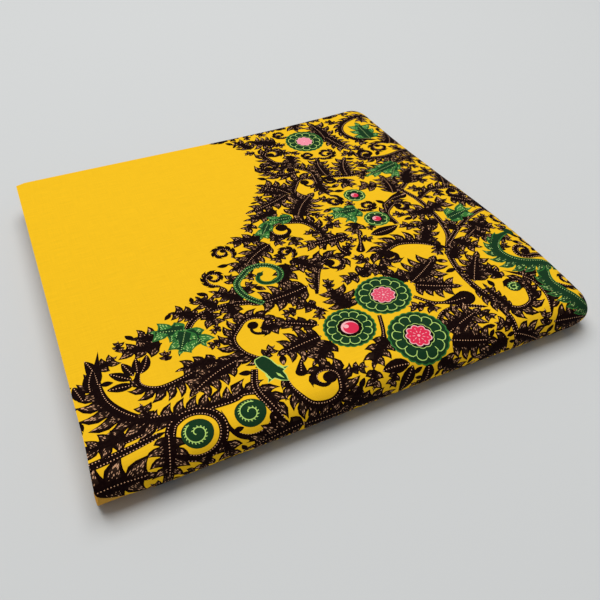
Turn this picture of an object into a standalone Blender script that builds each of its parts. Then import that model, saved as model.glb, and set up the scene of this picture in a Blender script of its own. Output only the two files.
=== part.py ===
"""A folded length of printed cotton cloth, lying flat: one stack of layers with a fat fold along its front.

Metres, +Z up. The origin is under the middle of the stack, on the surface that it lies on. X runs along
the front fold and -Y is the front. The layers lie in each other as nested U shapes: each runs from the
back along the top, round the front fold and back along the underside.
"""

import math
from collections import namedtuple

import bmesh
import bpy
from mathutils import Vector

MILLIMETRE = 0.001

# Size of the folded stack
WIDTH = 0.400
DEPTH = 0.366
FRONT_HEIGHT = 0.034
BACK_HEIGHT = 0.0315
CROWN = 0.0012

# Cloth
LEAF_WALL = 0.0012
GAP = 0.0003
LEAF_STEP = LEAF_WALL + GAP

# The left edges are crisp. The outer leaf draws back round the front fold, where the next one shows.
LEFT_INSET = 0.0040
OUTER_DRAWS_BACK = 0.0025
SECOND_STANDS_OUT = 0.0045
SECOND_HIDES = 0.0008
CORNER_STARTS = 0.30
CORNER_ENDS = 0.85
CORNER_REACH = 0.25
BACK_LEFT_RADIUS = 0.004

# The back edges bow in and sag between their corners, and the front fold is drawn in a little on its right.
BACK_BOW = 0.0060
BACK_BOW_X = 0.060
BACK_BOW_SPREAD = 0.130
BACK_SAG = 0.0015
FRONT_BOW = 0.0016
FRONT_BOW_X = 0.050
FRONT_BOW_SPREAD = 0.110

# The right edges are soft: they fall away at the top, rise a little below and bulge towards the front.
RIGHT_BULGE = 0.0135
RIGHT_BULGE_Y = -0.090
RIGHT_BULGE_SPREAD = 0.150
RIGHT_ROUND_WIDTH = 0.024
RIGHT_ROUND_DROP = 0.014
RIGHT_ROUND_RISE = 0.0035
RIGHT_ROUND_TURN = math.radians(76)
FRONT_RIGHT_RADIUS = 0.010
BACK_RIGHT_RADIUS = 0.020

# The inner layers end in bands with a groove between each pair. A row is a band, from the outermost to the
# middle one, and says how far it stands back from each side of the stack, in millimetres.
Band = namedtuple("Band", "left right back_upper back_lower")
BANDS = (
    Band(1.6, 1.4, 1.2, 2.6),
    Band(0.6, 2.2, 2.6, 1.0),
    Band(2.0, 0.8, 0.6, 1.8),
    Band(1.0, 1.8, 2.2, 0.8),
    Band(1.8, 1.2, 1.0, 2.4),
    Band(0.8, 2.0, 1.8, 1.4),
)
GROOVE = Band(3.8, 3.8, 4.2, 4.2)
BAND_SHARE = 0.64

# How finely the cloth is divided
COLUMNS_FLAT = 9
COLUMNS_ROUND = 6
ROWS_FLAT = 7
ROWS_FOLD = 14
TANGENT_STEP = 0.01

# Worked out from the sizes above
HALF_DEPTH = DEPTH / 2
LEFT_EDGE = -WIDTH / 2 + LEFT_INSET
RIGHT_EDGE = WIDTH / 2 - RIGHT_BULGE
ROUND_START = RIGHT_EDGE - RIGHT_ROUND_WIDTH * math.sin(RIGHT_ROUND_TURN)
FOLD_RADIUS = FRONT_HEIGHT / 2
FOLD_AXIS_Y = -HALF_DEPTH + FOLD_RADIUS
LAST_COLUMN = 1 + COLUMNS_FLAT + COLUMNS_ROUND
LAST_ROW = 2 * ROWS_FLAT + ROWS_FOLD
SHELL_DEPTH = 2 * LEAF_STEP


def smooth(value):
    """Runs from 0 to 1 with soft ends."""
    value = min(1.0, max(0.0, value))
    return value * value * (3 - 2 * value)


def bump(value, centre, spread):
    """A rounded hump of height 1 at the centre."""
    return math.exp(-(((value - centre) / spread) ** 2))


def stack_height(x, y):
    """The height of the stack where its right edge doesn't yet fall away, highest near the front fold."""
    back_share = smooth((y - FOLD_AXIS_Y) / (HALF_DEPTH - FOLD_AXIS_Y))
    height = FRONT_HEIGHT - (FRONT_HEIGHT - BACK_HEIGHT) * back_share
    across = x / (WIDTH / 2)
    along = y / HALF_DEPTH
    sag = BACK_SAG * back_share * (1 - across * across)
    swell = 0.18 * math.sin(5.1 * across + 1.0) * math.cos(3.7 * along)
    return height - sag - CROWN * (0.55 * across * across + swell + 0.18)


def across_place(column, left):
    """x of a column of points that starts at x = left, and how far it has turned over the right edge."""
    if column <= 1:
        return left + column * BACK_LEFT_RADIUS, 0.0
    if column <= 1 + COLUMNS_FLAT:
        start = left + BACK_LEFT_RADIUS
        return start + (ROUND_START - start) * (column - 1) / COLUMNS_FLAT, 0.0
    turn = RIGHT_ROUND_TURN * (column - 1 - COLUMNS_FLAT) / COLUMNS_ROUND
    return ROUND_START + RIGHT_ROUND_WIDTH * math.sin(turn), turn


def along_place(row):
    """Share of the way from the back edge to the fold's axis, and the angle round the fold."""
    if row <= ROWS_FLAT:
        return row / ROWS_FLAT, math.pi / 2
    if row <= ROWS_FLAT + ROWS_FOLD:
        return 1.0, math.pi / 2 - math.pi * (row - ROWS_FLAT) / ROWS_FOLD
    return (LAST_ROW - row) / ROWS_FLAT, -math.pi / 2


def back_edge(x, turn, left):
    """y of the back edges, with a rounded corner at each end."""
    past_left = max(0.0, 1 - (x - left) / BACK_LEFT_RADIUS)
    left_corner = BACK_LEFT_RADIUS * (1 - math.sqrt(1 - 0.9 * past_left * past_left))
    right_corner = BACK_RIGHT_RADIUS * (1 - math.cos(turn))
    bow = BACK_BOW * bump(x, BACK_BOW_X, BACK_BOW_SPREAD)
    return HALF_DEPTH - left_corner - right_corner - bow


def stack_point(column, row, left, depth_share):
    """A point of the stack: on its outside at depth_share 0, and on its middle plane at 1."""
    x, turn = across_place(column, left)
    share, angle = along_place(row)
    fallen = 1 - math.cos(turn)
    back = back_edge(x, turn, left)
    corner = FRONT_RIGHT_RADIUS * fallen / 2
    axis_y = FOLD_AXIS_Y + corner + FRONT_BOW * bump(x, FRONT_BOW_X, FRONT_BOW_SPREAD)
    y = back + (axis_y - back) * share
    upper = stack_height(x, y) - RIGHT_ROUND_DROP * fallen
    lower = RIGHT_ROUND_RISE * fallen
    half = (upper - lower) / 2 * (1 - depth_share)
    reach = (FOLD_RADIUS - corner) * (1 - depth_share)
    y -= reach * math.cos(angle)
    right_share = smooth((x - LEFT_EDGE) / (RIGHT_EDGE - LEFT_EDGE))
    x += RIGHT_BULGE * right_share * bump(y, RIGHT_BULGE_Y, RIGHT_BULGE_SPREAD)
    return Vector((x, y, (upper + lower) / 2 + half * math.sin(angle)))


def leaf_point(column, row, left, depth):
    """A point that lies deep under the stack's outside by a true distance, square to the surface."""
    before = max(0.0, column - TANGENT_STEP)
    after = min(LAST_COLUMN, column + TANGENT_STEP)
    across = stack_point(after, row, left, 0) - stack_point(before, row, left, 0)
    before = max(0.0, row - TANGENT_STEP)
    after = min(LAST_ROW, row + TANGENT_STEP)
    along = stack_point(column, after, left, 0) - stack_point(column, before, left, 0)
    outwards = along.cross(across).normalized()
    return stack_point(column, row, left, 0) - outwards * depth


def corner_share(row):
    """How much a row is part of the front left corner: nothing on top, most at the foot of the fold."""
    round_fold = smooth(((row - ROWS_FLAT) / ROWS_FOLD - CORNER_STARTS) / (CORNER_ENDS - CORNER_STARTS))
    along_underside = (row - ROWS_FLAT - ROWS_FOLD) / ROWS_FLAT
    return round_fold * (1 - smooth(along_underside / CORNER_REACH))


def outer_left(row):
    """The outer leaf's left edge draws back as it goes round the fold."""
    return LEFT_EDGE + OUTER_DRAWS_BACK * corner_share(row)


def second_left(row):
    """The second leaf's left edge is just hidden on top and stands out at the foot of the fold."""
    return LEFT_EDGE + SECOND_HIDES * (1 - corner_share(row)) - SECOND_STANDS_OUT * corner_share(row)


def add_object(name, mesh_data, color, roughness):
    """Makes an object of a bmesh, with a material of its own."""
    bmesh.ops.remove_doubles(mesh_data, verts=mesh_data.verts, dist=1e-6)
    bmesh.ops.recalc_face_normals(mesh_data, faces=mesh_data.faces)
    bmesh.ops.triangulate(mesh_data, faces=mesh_data.faces)
    mesh = bpy.data.meshes.new(name)
    mesh_data.to_mesh(mesh)
    mesh_data.free()
    mesh.shade_smooth()
    mesh.set_sharp_from_angle(angle=math.radians(40))
    material = bpy.data.materials.new(name)
    material.use_nodes = True
    shader = material.node_tree.nodes["Principled BSDF"]
    shader.inputs["Base Color"].default_value = (*color, 1.0)
    shader.inputs["Roughness"].default_value = roughness
    shader.inputs["Metallic"].default_value = 0.0
    mesh.materials.append(material)
    piece = bpy.data.objects.new(name, mesh)
    bpy.context.scene.collection.objects.link(piece)
    return piece


def add_grid(mesh_data, point_at):
    """Adds the cloth's grid of faces, with its points given by column and row, and returns the points."""
    points = [
        [mesh_data.verts.new(point_at(column, row)) for column in range(LAST_COLUMN + 1)]
        for row in range(LAST_ROW + 1)
    ]
    for upper, lower in zip(points, points[1:]):
        add_strip(mesh_data, upper, lower)
    return points


def add_strip(mesh_data, one, other):
    """Joins two lines of points with faces."""
    for near, far, far_other, near_other in zip(one, one[1:], other[1:], other):
        mesh_data.faces.new((near, near_other, far_other, far))


def rim_of(points):
    """The points round a grid's edge, in order and closed."""
    left = [line[0] for line in points]
    right = [line[-1] for line in points]
    loop = points[0][:-1] + right[:-1] + points[-1][:0:-1] + left[:0:-1]
    return loop + loop[:1]


def leaf(name, depth, left_at, color):
    """A leaf of cloth: the outside and inside of its wall, joined round the rim."""
    mesh_data = bmesh.new()
    sides = [
        add_grid(mesh_data, lambda column, row: leaf_point(column, row, left_at(row), side_depth))
        for side_depth in (depth, depth + LEAF_WALL)
    ]
    add_strip(mesh_data, rim_of(sides[0]), rim_of(sides[1]))
    return add_object(name, mesh_data, color, 0.85)


def inner_point(column, row, depth_share, band):
    """A point of the inner layers, with its edge drawn back as the band says."""
    left = LEFT_EDGE + band.left * MILLIMETRE
    outside = leaf_point(column, row, left, SHELL_DEPTH)
    middle = stack_point(column, row, left, 1.0)
    point = outside.lerp(middle, depth_share)
    turned = across_place(column, left)[1] / RIGHT_ROUND_TURN
    point.x -= band.right * MILLIMETRE * turned
    if row == 0:
        point.y -= band.back_upper * MILLIMETRE
    if row == LAST_ROW:
        point.y -= band.back_lower * MILLIMETRE
    return point


def band_levels():
    """Where the bands' edges and the grooves lie between the outside, 0, and the middle plane, 1."""
    margin = (1 - BAND_SHARE) / 2
    levels = []
    for index, band in enumerate(BANDS):
        levels.append(((index + (margin if index else 0)) / len(BANDS), band))
        levels.append(((index + 1 - margin) / len(BANDS), band))
        levels.append(((index + 1) / len(BANDS), GROOVE))
    return levels


def inner_layers(name, color):
    """The hidden layers as one solid: its outside, then rings of edge down to the middle plane."""
    mesh_data = bmesh.new()
    levels = band_levels()
    points = add_grid(mesh_data, lambda column, row: inner_point(column, row, *levels[0]))
    ring = rim_of(points)
    grid = [[(column, row) for column in range(LAST_COLUMN + 1)] for row in range(LAST_ROW + 1)]
    places = rim_of(grid)
    for depth_share, band in levels[1:]:
        open_ring = [mesh_data.verts.new(inner_point(*place, depth_share, band)) for place in places[:-1]]
        next_ring = open_ring + open_ring[:1]
        add_strip(mesh_data, ring, next_ring)
        ring = next_ring
    return add_object(name, mesh_data, color, 0.9)


def main():
    for old in list(bpy.data.objects):
        bpy.data.objects.remove(old, do_unlink=True)
    leaf("outer_leaf", 0.0, outer_left, (0.90, 0.52, 0.014))
    leaf("second_leaf", LEAF_STEP, second_left, (0.86, 0.48, 0.014))
    inner_layers("inner_layers", (0.62, 0.34, 0.02))


main()
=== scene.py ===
# %% [markdown]
# # A folded length of wax print cotton
#
# Wax print is plain woven cotton, printed on both sides with a resist of wax or resin and several dyes.
# It is sold by the length and folded: first in three across its width, then over and over along its
# length. What lies on the table is a stack of about 45 layers with a fat fold along its front, crisp
# edges on its left and soft ones on its right. Dark scrolls surround a plain yellow field on its top.
#
# This script dresses the stack's solids. The scroll print is drawn on the flat cloth with functions for its
# leaves, bands and flowers, cut into the cloth's mesh, and folded with the mesh round the stack.

import math
import random
from collections import namedtuple

import bpy
import numpy as np
from mathutils import Matrix, Vector, geometry


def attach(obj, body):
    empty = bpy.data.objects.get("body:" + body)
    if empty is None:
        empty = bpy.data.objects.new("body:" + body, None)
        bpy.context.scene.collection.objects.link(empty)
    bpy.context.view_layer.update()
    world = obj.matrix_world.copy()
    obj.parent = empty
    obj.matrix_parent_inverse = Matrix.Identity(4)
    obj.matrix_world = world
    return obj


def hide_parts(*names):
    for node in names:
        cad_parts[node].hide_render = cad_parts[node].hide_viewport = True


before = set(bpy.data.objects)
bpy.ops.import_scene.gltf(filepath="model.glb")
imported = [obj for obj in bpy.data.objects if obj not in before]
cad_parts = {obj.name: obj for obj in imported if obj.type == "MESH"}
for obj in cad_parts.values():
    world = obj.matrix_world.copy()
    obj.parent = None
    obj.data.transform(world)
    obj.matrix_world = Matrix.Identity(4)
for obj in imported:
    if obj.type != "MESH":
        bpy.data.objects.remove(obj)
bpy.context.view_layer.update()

# %% [markdown]
# ## The stack's form
#
# The layers lie in each other as nested U shapes, so a sheet starts at the back, runs along the top, goes
# round the front fold and comes back along the underside. The sizes are the solids' own, because each sheet
# has to lie on its solid.
#
# Lengths are metres. X runs along the front fold and -Y is the front. A share along the fold counts from 0
# at its top to 1 at its foot, and a reach is a share of the underside's depth.

# %% Sizes of the stack
WIDTH = 0.400
DEPTH = 0.366
FRONT_HEIGHT = 0.034
BACK_HEIGHT = 0.0315
CROWN = 0.0012
CROWN_ACROSS = 0.55
SWELL = 0.18
SWELL_WAVES = (5.1, 3.7)
SHEET_STEP = 0.0015
SHEET_THICKNESS = 0.0006
LEFT_INSET = 0.0040
OUTER_DRAWS_BACK = 0.036
ROUNDING_STARTS = 0.34
ROUNDING_ENDS = 0.62
ROUNDING_REACH = 0.15
FOOT_STANDS_OUT = 0.0045
FLARE_LENGTH = 0.075
SECOND_HIDES = 0.0008
CORNER_STARTS = 0.48
CORNER_ENDS = 0.85
CORNER_REACH = 0.05
BACK_LEFT_RADIUS = 0.004
BACK_LEFT_ROUNDED = 0.9
BACK_BOW = 0.0060
BACK_BOW_X = 0.060
BACK_BOW_SPREAD = 0.130
BACK_SAG = 0.0015
FRONT_BOW = 0.0016
FRONT_BOW_X = 0.050
FRONT_BOW_SPREAD = 0.110
RIGHT_BULGE = 0.0135
RIGHT_BULGE_Y = -0.090
RIGHT_BULGE_SPREAD = 0.150
RIGHT_ROUND_WIDTH = 0.024
RIGHT_ROUND_DROP = 0.014
RIGHT_ROUND_RISE = 0.0035
RIGHT_ROUND_TURN = math.radians(76)
FRONT_RIGHT_RADIUS = 0.010
BACK_RIGHT_RADIUS = 0.020

HALF_DEPTH = DEPTH / 2
LEFT_EDGE = -WIDTH / 2 + LEFT_INSET
RIGHT_EDGE = WIDTH / 2 - RIGHT_BULGE
ROUND_START = RIGHT_EDGE - RIGHT_ROUND_WIDTH * math.sin(RIGHT_ROUND_TURN)
FOLD_RADIUS = FRONT_HEIGHT / 2
FOLD_LENGTH = math.pi * FOLD_RADIUS
FOLD_AXIS_Y = -HALF_DEPTH + FOLD_RADIUS
FOLD_FOOT = FOLD_AXIS_Y - FOLD_LENGTH
CLOTH_END = 2 * FOLD_AXIS_Y - FOLD_LENGTH - HALF_DEPTH

# The cloth's length along the right rounding, for each angle that it has turned
TURN_STEPS = 60
turns = np.linspace(0, RIGHT_ROUND_TURN, TURN_STEPS)
turn_steps = np.hypot(RIGHT_ROUND_WIDTH * np.cos(turns), RIGHT_ROUND_DROP * np.sin(turns))
turn_means = (turn_steps[1:] + turn_steps[:-1]) / 2
turn_lengths = np.concatenate([[0], np.cumsum(turn_means * np.diff(turns))])
CLOTH_RIGHT = ROUND_START + turn_lengths[-1]
FLAT_LENGTH = 2 * (HALF_DEPTH - FOLD_AXIS_Y) + FOLD_LENGTH

# %% [markdown]
# A place on the flat cloth is a distance across and one along. On top of the stack these are x and y.
# Past the fold's axis the cloth goes round the fold, and after that along the underside, where y rises
# again.
#
# The heights and edges come first, because the folding is built on them.


# %% Heights and edges of the stack
def smooth(value):
    """Eases a value from 0 to 1, without a kink at either."""
    value = np.clip(value, 0.0, 1.0)
    return value * value * (3 - 2 * value)


def bump(value, centre, spread):
    """1 at a centre, falling off around it."""
    return np.exp(-(((value - centre) / spread) ** 2))


def stack_height(x, y):
    """Height of the top, which falls towards the back and the sides and has slow swells."""
    back_share = smooth((y - FOLD_AXIS_Y) / (HALF_DEPTH - FOLD_AXIS_Y))
    height = FRONT_HEIGHT - (FRONT_HEIGHT - BACK_HEIGHT) * back_share
    across = x / (WIDTH / 2)
    along = y / HALF_DEPTH
    sag = BACK_SAG * back_share * (1 - across * across)
    swell = SWELL * np.sin(SWELL_WAVES[0] * across + 1.0) * np.cos(SWELL_WAVES[1] * along)
    return height - sag - CROWN * (CROWN_ACROSS * across * across + swell + SWELL)


def turned_at(across):
    """The angle by which the cloth has turned down at its right."""
    return np.interp(across - ROUND_START, turn_lengths, turns)


def fold_axis(x, turn):
    """y of the line that the front fold goes round."""
    corner = FRONT_RIGHT_RADIUS * (1 - np.cos(turn)) / 2
    return FOLD_AXIS_Y + corner + FRONT_BOW * bump(x, FRONT_BOW_X, FRONT_BOW_SPREAD)


def back_edge(across, left):
    """y of the back edges, with a rounded corner at each end."""
    turn = turned_at(across)
    x = np.minimum(across, ROUND_START) + RIGHT_ROUND_WIDTH * np.sin(turn)
    past_left = np.clip(1 - (x - left) / BACK_LEFT_RADIUS, 0, 1)
    left_corner = BACK_LEFT_RADIUS * (1 - np.sqrt(1 - BACK_LEFT_ROUNDED * past_left**2))
    right_corner = BACK_RIGHT_RADIUS * (1 - np.cos(turn))
    return HALF_DEPTH - left_corner - right_corner - BACK_BOW * bump(x, BACK_BOW_X, BACK_BOW_SPREAD)


def flat_end(across, left):
    """y of the cloth's end on the underside, where it lies under its start."""
    turn = turned_at(across)
    x = np.minimum(across, ROUND_START) + RIGHT_ROUND_WIDTH * np.sin(turn)
    return 2 * fold_axis(x, turn) - FOLD_LENGTH - back_edge(across, left)


top_falls = stack_height(0.0, FOLD_AXIS_Y) - stack_height(0.0, HALF_DEPTH)
print(f"the top falls by {top_falls * 1000:.1f} mm from the fold to the middle of the back edge")


# %% [markdown]
# `on_stack` folds places on the flat cloth onto the stack. Its share says how deep: 0 is the outside and
# 1 the middle. The same function folds every sheet, so the sheets lie in each other like the real layers.


# %% Folding flat cloth onto the stack
def on_stack(across, along, share=0.0):
    """Folds places on the flat cloth onto the stack, as rows of x, y and z."""
    turn = turned_at(across)
    x = np.minimum(across, ROUND_START) + RIGHT_ROUND_WIDTH * np.sin(turn)
    fallen = 1 - np.cos(turn)
    axis = fold_axis(x, turn)
    past = axis - along
    angle = math.pi / 2 - np.clip(past / FOLD_RADIUS, 0, math.pi)
    y = np.maximum(along, axis) + np.maximum(past - FOLD_LENGTH, 0)
    upper = stack_height(x, y) - RIGHT_ROUND_DROP * fallen
    lower = RIGHT_ROUND_RISE * fallen
    half = (upper - lower) / 2 * (1 - share)
    reach = (FOLD_RADIUS - FRONT_RIGHT_RADIUS * fallen / 2) * (1 - share)
    y = y - reach * np.cos(angle)
    right_share = smooth((x - LEFT_EDGE) / (RIGHT_EDGE - LEFT_EDGE))
    x = x + RIGHT_BULGE * right_share * bump(y, RIGHT_BULGE_Y, RIGHT_BULGE_SPREAD)
    return np.stack([x, y, (upper + lower) / 2 + half * np.sin(angle)], -1)


def outwards_at(across, along, share=0.0):
    """The way out of the cloth, from two small steps on it."""
    step = 0.0002
    east = on_stack(across + step, along, share) - on_stack(across - step, along, share)
    north = on_stack(across, along + step, share) - on_stack(across, along - step, share)
    way = np.cross(east, north)
    return way / np.linalg.norm(way, axis=-1, keepdims=True)


print("the fold's foot is at", on_stack(np.array([0.0]), np.array([FOLD_FOOT])).round(4))


# %% [markdown]
# The left edges are crisp, but the outermost layers are pulled a little out of line where they go round the
# fold. Both left edges flare out towards the fold's foot, and the outer sheet's corner is rounded off, so
# that the second sheet shows past it. The solids have less of this, as it is an edge detail of thin cloth.


# %% The front left corner
def fold_share(along):
    """How far a place is round the fold: 0 on top, 1 at the fold's foot and further."""
    return np.clip((FOLD_AXIS_Y - along) / FOLD_LENGTH, 0, 1)


def faded(along, reach):
    """1 up to the fold's foot, then falling to 0 along the underside within a reach."""
    underside_share = (FOLD_FOOT - along) / (HALF_DEPTH - FOLD_AXIS_Y)
    return 1 - smooth(underside_share / reach)


def flared(along):
    """The left edges' line, which stands out a little towards the fold's foot."""
    share = smooth((FOLD_FOOT + FLARE_LENGTH - along) / FLARE_LENGTH) * faded(along, CORNER_REACH)
    return LEFT_EDGE - FOOT_STANDS_OUT * share


def outer_left(along):
    """The outer sheet's left edge. Its front left corner is rounded off on the way to the underside."""
    share = (fold_share(along) - ROUNDING_STARTS) / (ROUNDING_ENDS - ROUNDING_STARTS)
    rounded = np.clip(share, 0, 1) ** 2 * faded(along, ROUNDING_REACH)
    return flared(along) + OUTER_DRAWS_BACK * rounded


def second_left(along):
    """The second sheet's left edge, just inside the outer one's line, but for the corner itself."""
    share = smooth((fold_share(along) - CORNER_STARTS) / (CORNER_ENDS - CORNER_STARTS))
    return flared(along) + SECOND_HIDES * (1 - share * faded(along, CORNER_REACH))


most_back = outer_left(np.linspace(CLOTH_END, HALF_DEPTH, 400)).max() - LEFT_EDGE
print(f"the outer sheet's corner draws back by up to {most_back * 1000:.0f} mm")

# %% [markdown]
# ## The print
#
# The real cloth is printed with a resist: wax or resin keeps the dye off fine dots and flecks, which stay
# pale in the dark scrolls. Here each motif is a closed outline on the flat cloth, in millimetres, with
# the line that it grows along. An ink fills the outline, and later the material draws dots or flecks
# along that line.
#
# The design is a general one, in the manner of old batik: toothed volutes, lobed leaves, round flowers.

# %% Inks and the list of motifs
INKS = {
    "ground": (0.913, 0.527, 0.0130),
    "dark": (0.0060, 0.0015, 0.0014),
    "deep_green": (0.0085, 0.0400, 0.0140),
    "leaf_green": (0.0340, 0.1700, 0.0340),
    "lime": (0.5000, 0.7200, 0.1700),
    "red": (0.7500, 0.0290, 0.0800),
    "rose": (0.7800, 0.0850, 0.1500),
    "pale_rose": (0.9200, 0.2700, 0.3600),
    "pink": (0.9200, 0.4600, 0.4800),
}
NO_DOTS, ONE_ROW, TWO_ROWS = 0, 1, 2
Motif = namedtuple("Motif", "ink outline path dots lane fleck_length on_top")
motifs = []
chance = random.Random(7)


def add_motif(ink, outline, path=None, dots=NO_DOTS, lane=0.0, fleck_length=0.0, on_top=False):
    """Adds a motif. Its lane is how far a row of dots lies to the left of its path, and its fleck length how
    far flecks run along that path."""
    motifs.append(Motif(ink, np.asarray(outline, float), path, dots, lane, fleck_length, on_top))


# %% [markdown]
# Each scroll and stem starts as a line, steered like a pen: forwards by a length while turning by an angle.
# What grows along it is given by places beside it.


# %% Lines and places beside them
def steered(start, heading, legs, step=2.0):
    """Points of a line from a start, with a heading in degrees; a leg is a length and the turn along it."""
    x, y = start
    heading = math.radians(heading)
    points = [(x, y)]
    for length, turn in legs:
        count = max(2, round(length / step))
        half_turn = math.radians(turn) / count / 2
        for _ in range(count):
            heading += half_turn
            x += length / count * math.cos(heading)
            y += length / count * math.sin(heading)
            heading += half_turn
            points.append((x, y))
    return np.array(points)


def measured(path):
    """Distance along a path at each of its points, and the way to its left there."""
    steps = np.hypot(*np.diff(path, axis=0).T)
    distance = np.concatenate([[0], np.cumsum(steps)])
    way = np.gradient(path, axis=0)
    way /= np.hypot(*way.T)[:, None]
    return distance, np.stack([-way[:, 1], way[:, 0]], 1)


def beside(path, places):
    """Turns places, each a distance along a path and a distance to its left, into points."""
    distance, left = measured(path)
    places = np.asarray(places, float)
    point = np.stack([np.interp(places[:, 0], distance, path[:, axis]) for axis in (0, 1)], 1)
    side = np.stack([np.interp(places[:, 0], distance, left[:, axis]) for axis in (0, 1)], 1)
    side /= np.hypot(*side.T)[:, None]
    past_end = places[:, 0] - np.clip(places[:, 0], 0, distance[-1])
    ahead = np.stack([side[:, 1], -side[:, 0]], 1)
    return point + side * places[:, 1:] + ahead * past_end[:, None]


print("a line of 20 mm that turns left by 90 degrees ends at", steered((0, 0), 0, [(20, 90)])[-1].round(1))

# %% [markdown]
# Leaves and volutes fill what room is left, close but not touching. A map of the cloth with a cell for each
# square millimetre holds how far each cell is from the nearest motif, and where that motif is.

# %% The map of free room
MAP_LEFT, MAP_RIGHT, MAP_FRONT, MAP_BACK = -206, 206, -272, 192
MAP_REACH = 30
NO_MOTIF_NEAR = 60.0
OUTLINE_STEP = 2.5
map_columns = np.arange(MAP_LEFT, MAP_RIGHT) + 0.5
map_rows = np.arange(MAP_FRONT, MAP_BACK) + 0.5
across_map, along_map = np.meshgrid(map_columns, map_rows)
room = np.full(across_map.shape, NO_MOTIF_NEAR)
nearest = np.zeros(across_map.shape + (2,))

# The plain field's edge, from the back edge to the left edge
FIELD_EDGE = [
    (6, 200), (14, 172), (22, 150), (30, 128), (22, 106), (14, 74), (-8, 54), (-24, 26), (-34, 10), (-54, 0),
    (-64, -20), (-78, -38), (-100, -48), (-122, -60), (-152, -66), (-172, -76), (-190, -88), (-210, -96),
]
PRINT_END = -262


def inside(outline, x, y):
    """Where points lie inside an outline."""
    result = np.zeros(x.shape, bool)
    for (ax, ay), (bx, by) in zip(outline, np.roll(outline, -1, 0)):
        if ay != by:
            result ^= ((ay > y) != (by > y)) & (x < (bx - ax) * (y - ay) / (by - ay) + ax)
    return result


print_outline = np.array(FIELD_EDGE + [(-210, PRINT_END), (210, PRINT_END), (210, 200)], float)
printed = inside(print_outline, across_map, along_map)
print(f"the print covers {printed.mean():.2f} of the map")


def window(low, high):
    """The part of the map between two corners."""
    columns = slice(max(int(low[0] - MAP_LEFT), 0), max(int(high[0] - MAP_LEFT) + 1, 0))
    rows = slice(max(int(low[1] - MAP_FRONT), 0), max(int(high[1] - MAP_FRONT) + 1, 0))
    return rows, columns


def occupy(outline):
    """Notes on the map that an outline's area is taken."""
    low, high = outline.min(0), outline.max(0)
    view = window(low - MAP_REACH, high + MAP_REACH)
    x, y = across_map[view], along_map[view]
    closed = np.vstack([outline, outline[:1]])
    distance, _ = measured(closed)
    places = np.linspace(0, distance[-1], max(6, int(distance[-1] / OUTLINE_STEP)), endpoint=False)
    for point in zip(*(np.interp(places, distance, closed[:, axis]) for axis in (0, 1))):
        away = np.hypot(x - point[0], y - point[1])
        closer = away < room[view]
        room[view][closer] = away[closer]
        nearest[view][closer] = point
    view = window(low, high)
    room[view][inside(outline, across_map[view], along_map[view])] = 0


def look(points):
    """The room at points, and whether the print covers them."""
    rows = np.clip((points[:, 1] - MAP_FRONT).astype(int), 0, room.shape[0] - 1)
    columns = np.clip((points[:, 0] - MAP_LEFT).astype(int), 0, room.shape[1] - 1)
    return room[rows, columns], printed[rows, columns]


def looks_clear(base, heading, length):
    """A first look at whether a leaf has room, at its middle, near its end and at its tip."""
    way = np.array([math.cos(heading), math.sin(heading)])
    (middle, near_end, tip), covered = look(base + np.outer((0.5, 0.75, 1.0), way) * length)
    has_room = middle > 0.15 * length and near_end > 0.10 * length and tip > 0.5
    return has_room and bool(covered[:2].all())


# %% [markdown]
# The leaves are lobed like acanthus. Each lobe is edged by two bowed lines that meet in a sharp tip, and
# holds a patch that the resist has flecked, inside a dark rim. The midrib of a long leaf is a row of
# dots. There are plain pointed leaves too, in small gaps and as sprays.
#
# Lengths are millimetres. A leaf is widest before its middle, and the shares say where its lobes stand.

# %% Parts of a leaf
RIM = 1.0


def fullness(share):
    """How wide a leaf is along its length: nothing at both ends, widest before its middle."""
    return math.sin(math.pi * min(1.0, max(0.0, share)) ** 0.72) ** 0.62


def bowed(start, control, end, count=3):
    """Points of a curve from a start, drawn towards a control point, without its end."""
    share = np.arange(count)[:, None] / count
    start, control, end = (np.asarray(point, float) for point in (start, control, end))
    return ((1 - share) ** 2 * start + 2 * share * (1 - share) * control + share**2 * end).tolist()


def lobe_edge(foot, tip, next_foot, count=3):
    """A lobe's two edges: bowed out from its foot to its tip, and bowed in back to the next foot."""
    (start, low), (_, high), (end, next_low) = foot, tip, next_foot
    bowed_out = (start + 0.06 * (end - start), low + 0.72 * (high - low))
    bowed_in = (start + 0.86 * (end - start), next_low + 0.34 * (high - next_low))
    return bowed(foot, bowed_out, tip, count) + bowed(tip, bowed_in, next_foot, count)


def lobe_patch(foot, tip, next_foot):
    """The flecked part of a lobe, and the line that the flecks run along."""
    foot, tip, next_foot = (np.array(point) for point in (foot, tip, next_foot))
    middle = (foot + next_foot) / 2
    long = np.hypot(*(tip - middle))
    end = tip - (tip - middle) * min(0.5, 2.1 * RIM / long)
    near, far = foot * 0.82 + next_foot * 0.18, foot * 0.22 + next_foot * 0.78
    near, far = near - (tip - near) * 0.28, far - (tip - far) * 0.18
    middle = middle - (tip - middle) * 0.26
    widest = near + (tip - near) * 0.50 + (foot - next_foot) * 0.12
    return [near, widest, end, (far + end) / 2 + (foot - next_foot) * 0.04, far], [middle, tip]


widest = max(range(101), key=lambda percent: fullness(percent / 100))
print("a leaf is widest at", widest, "% of its length")

# %% Leaf outlines
FIRST_LOBE, LAST_LOBE = 0.06, 0.80
LOBE_FOOT, GROWN_LOBE_FOOT, GREEN_LOBE_FOOT = 0.46, 0.40, 0.58
LONG_PLAIN_LEAF = 14.0
SHORTEST_LOBED_LEAF = 10.0
SHORTEST_THREE_LOBED_LEAF = 28.0
PLAIN_SLENDERNESS = 0.27


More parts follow.
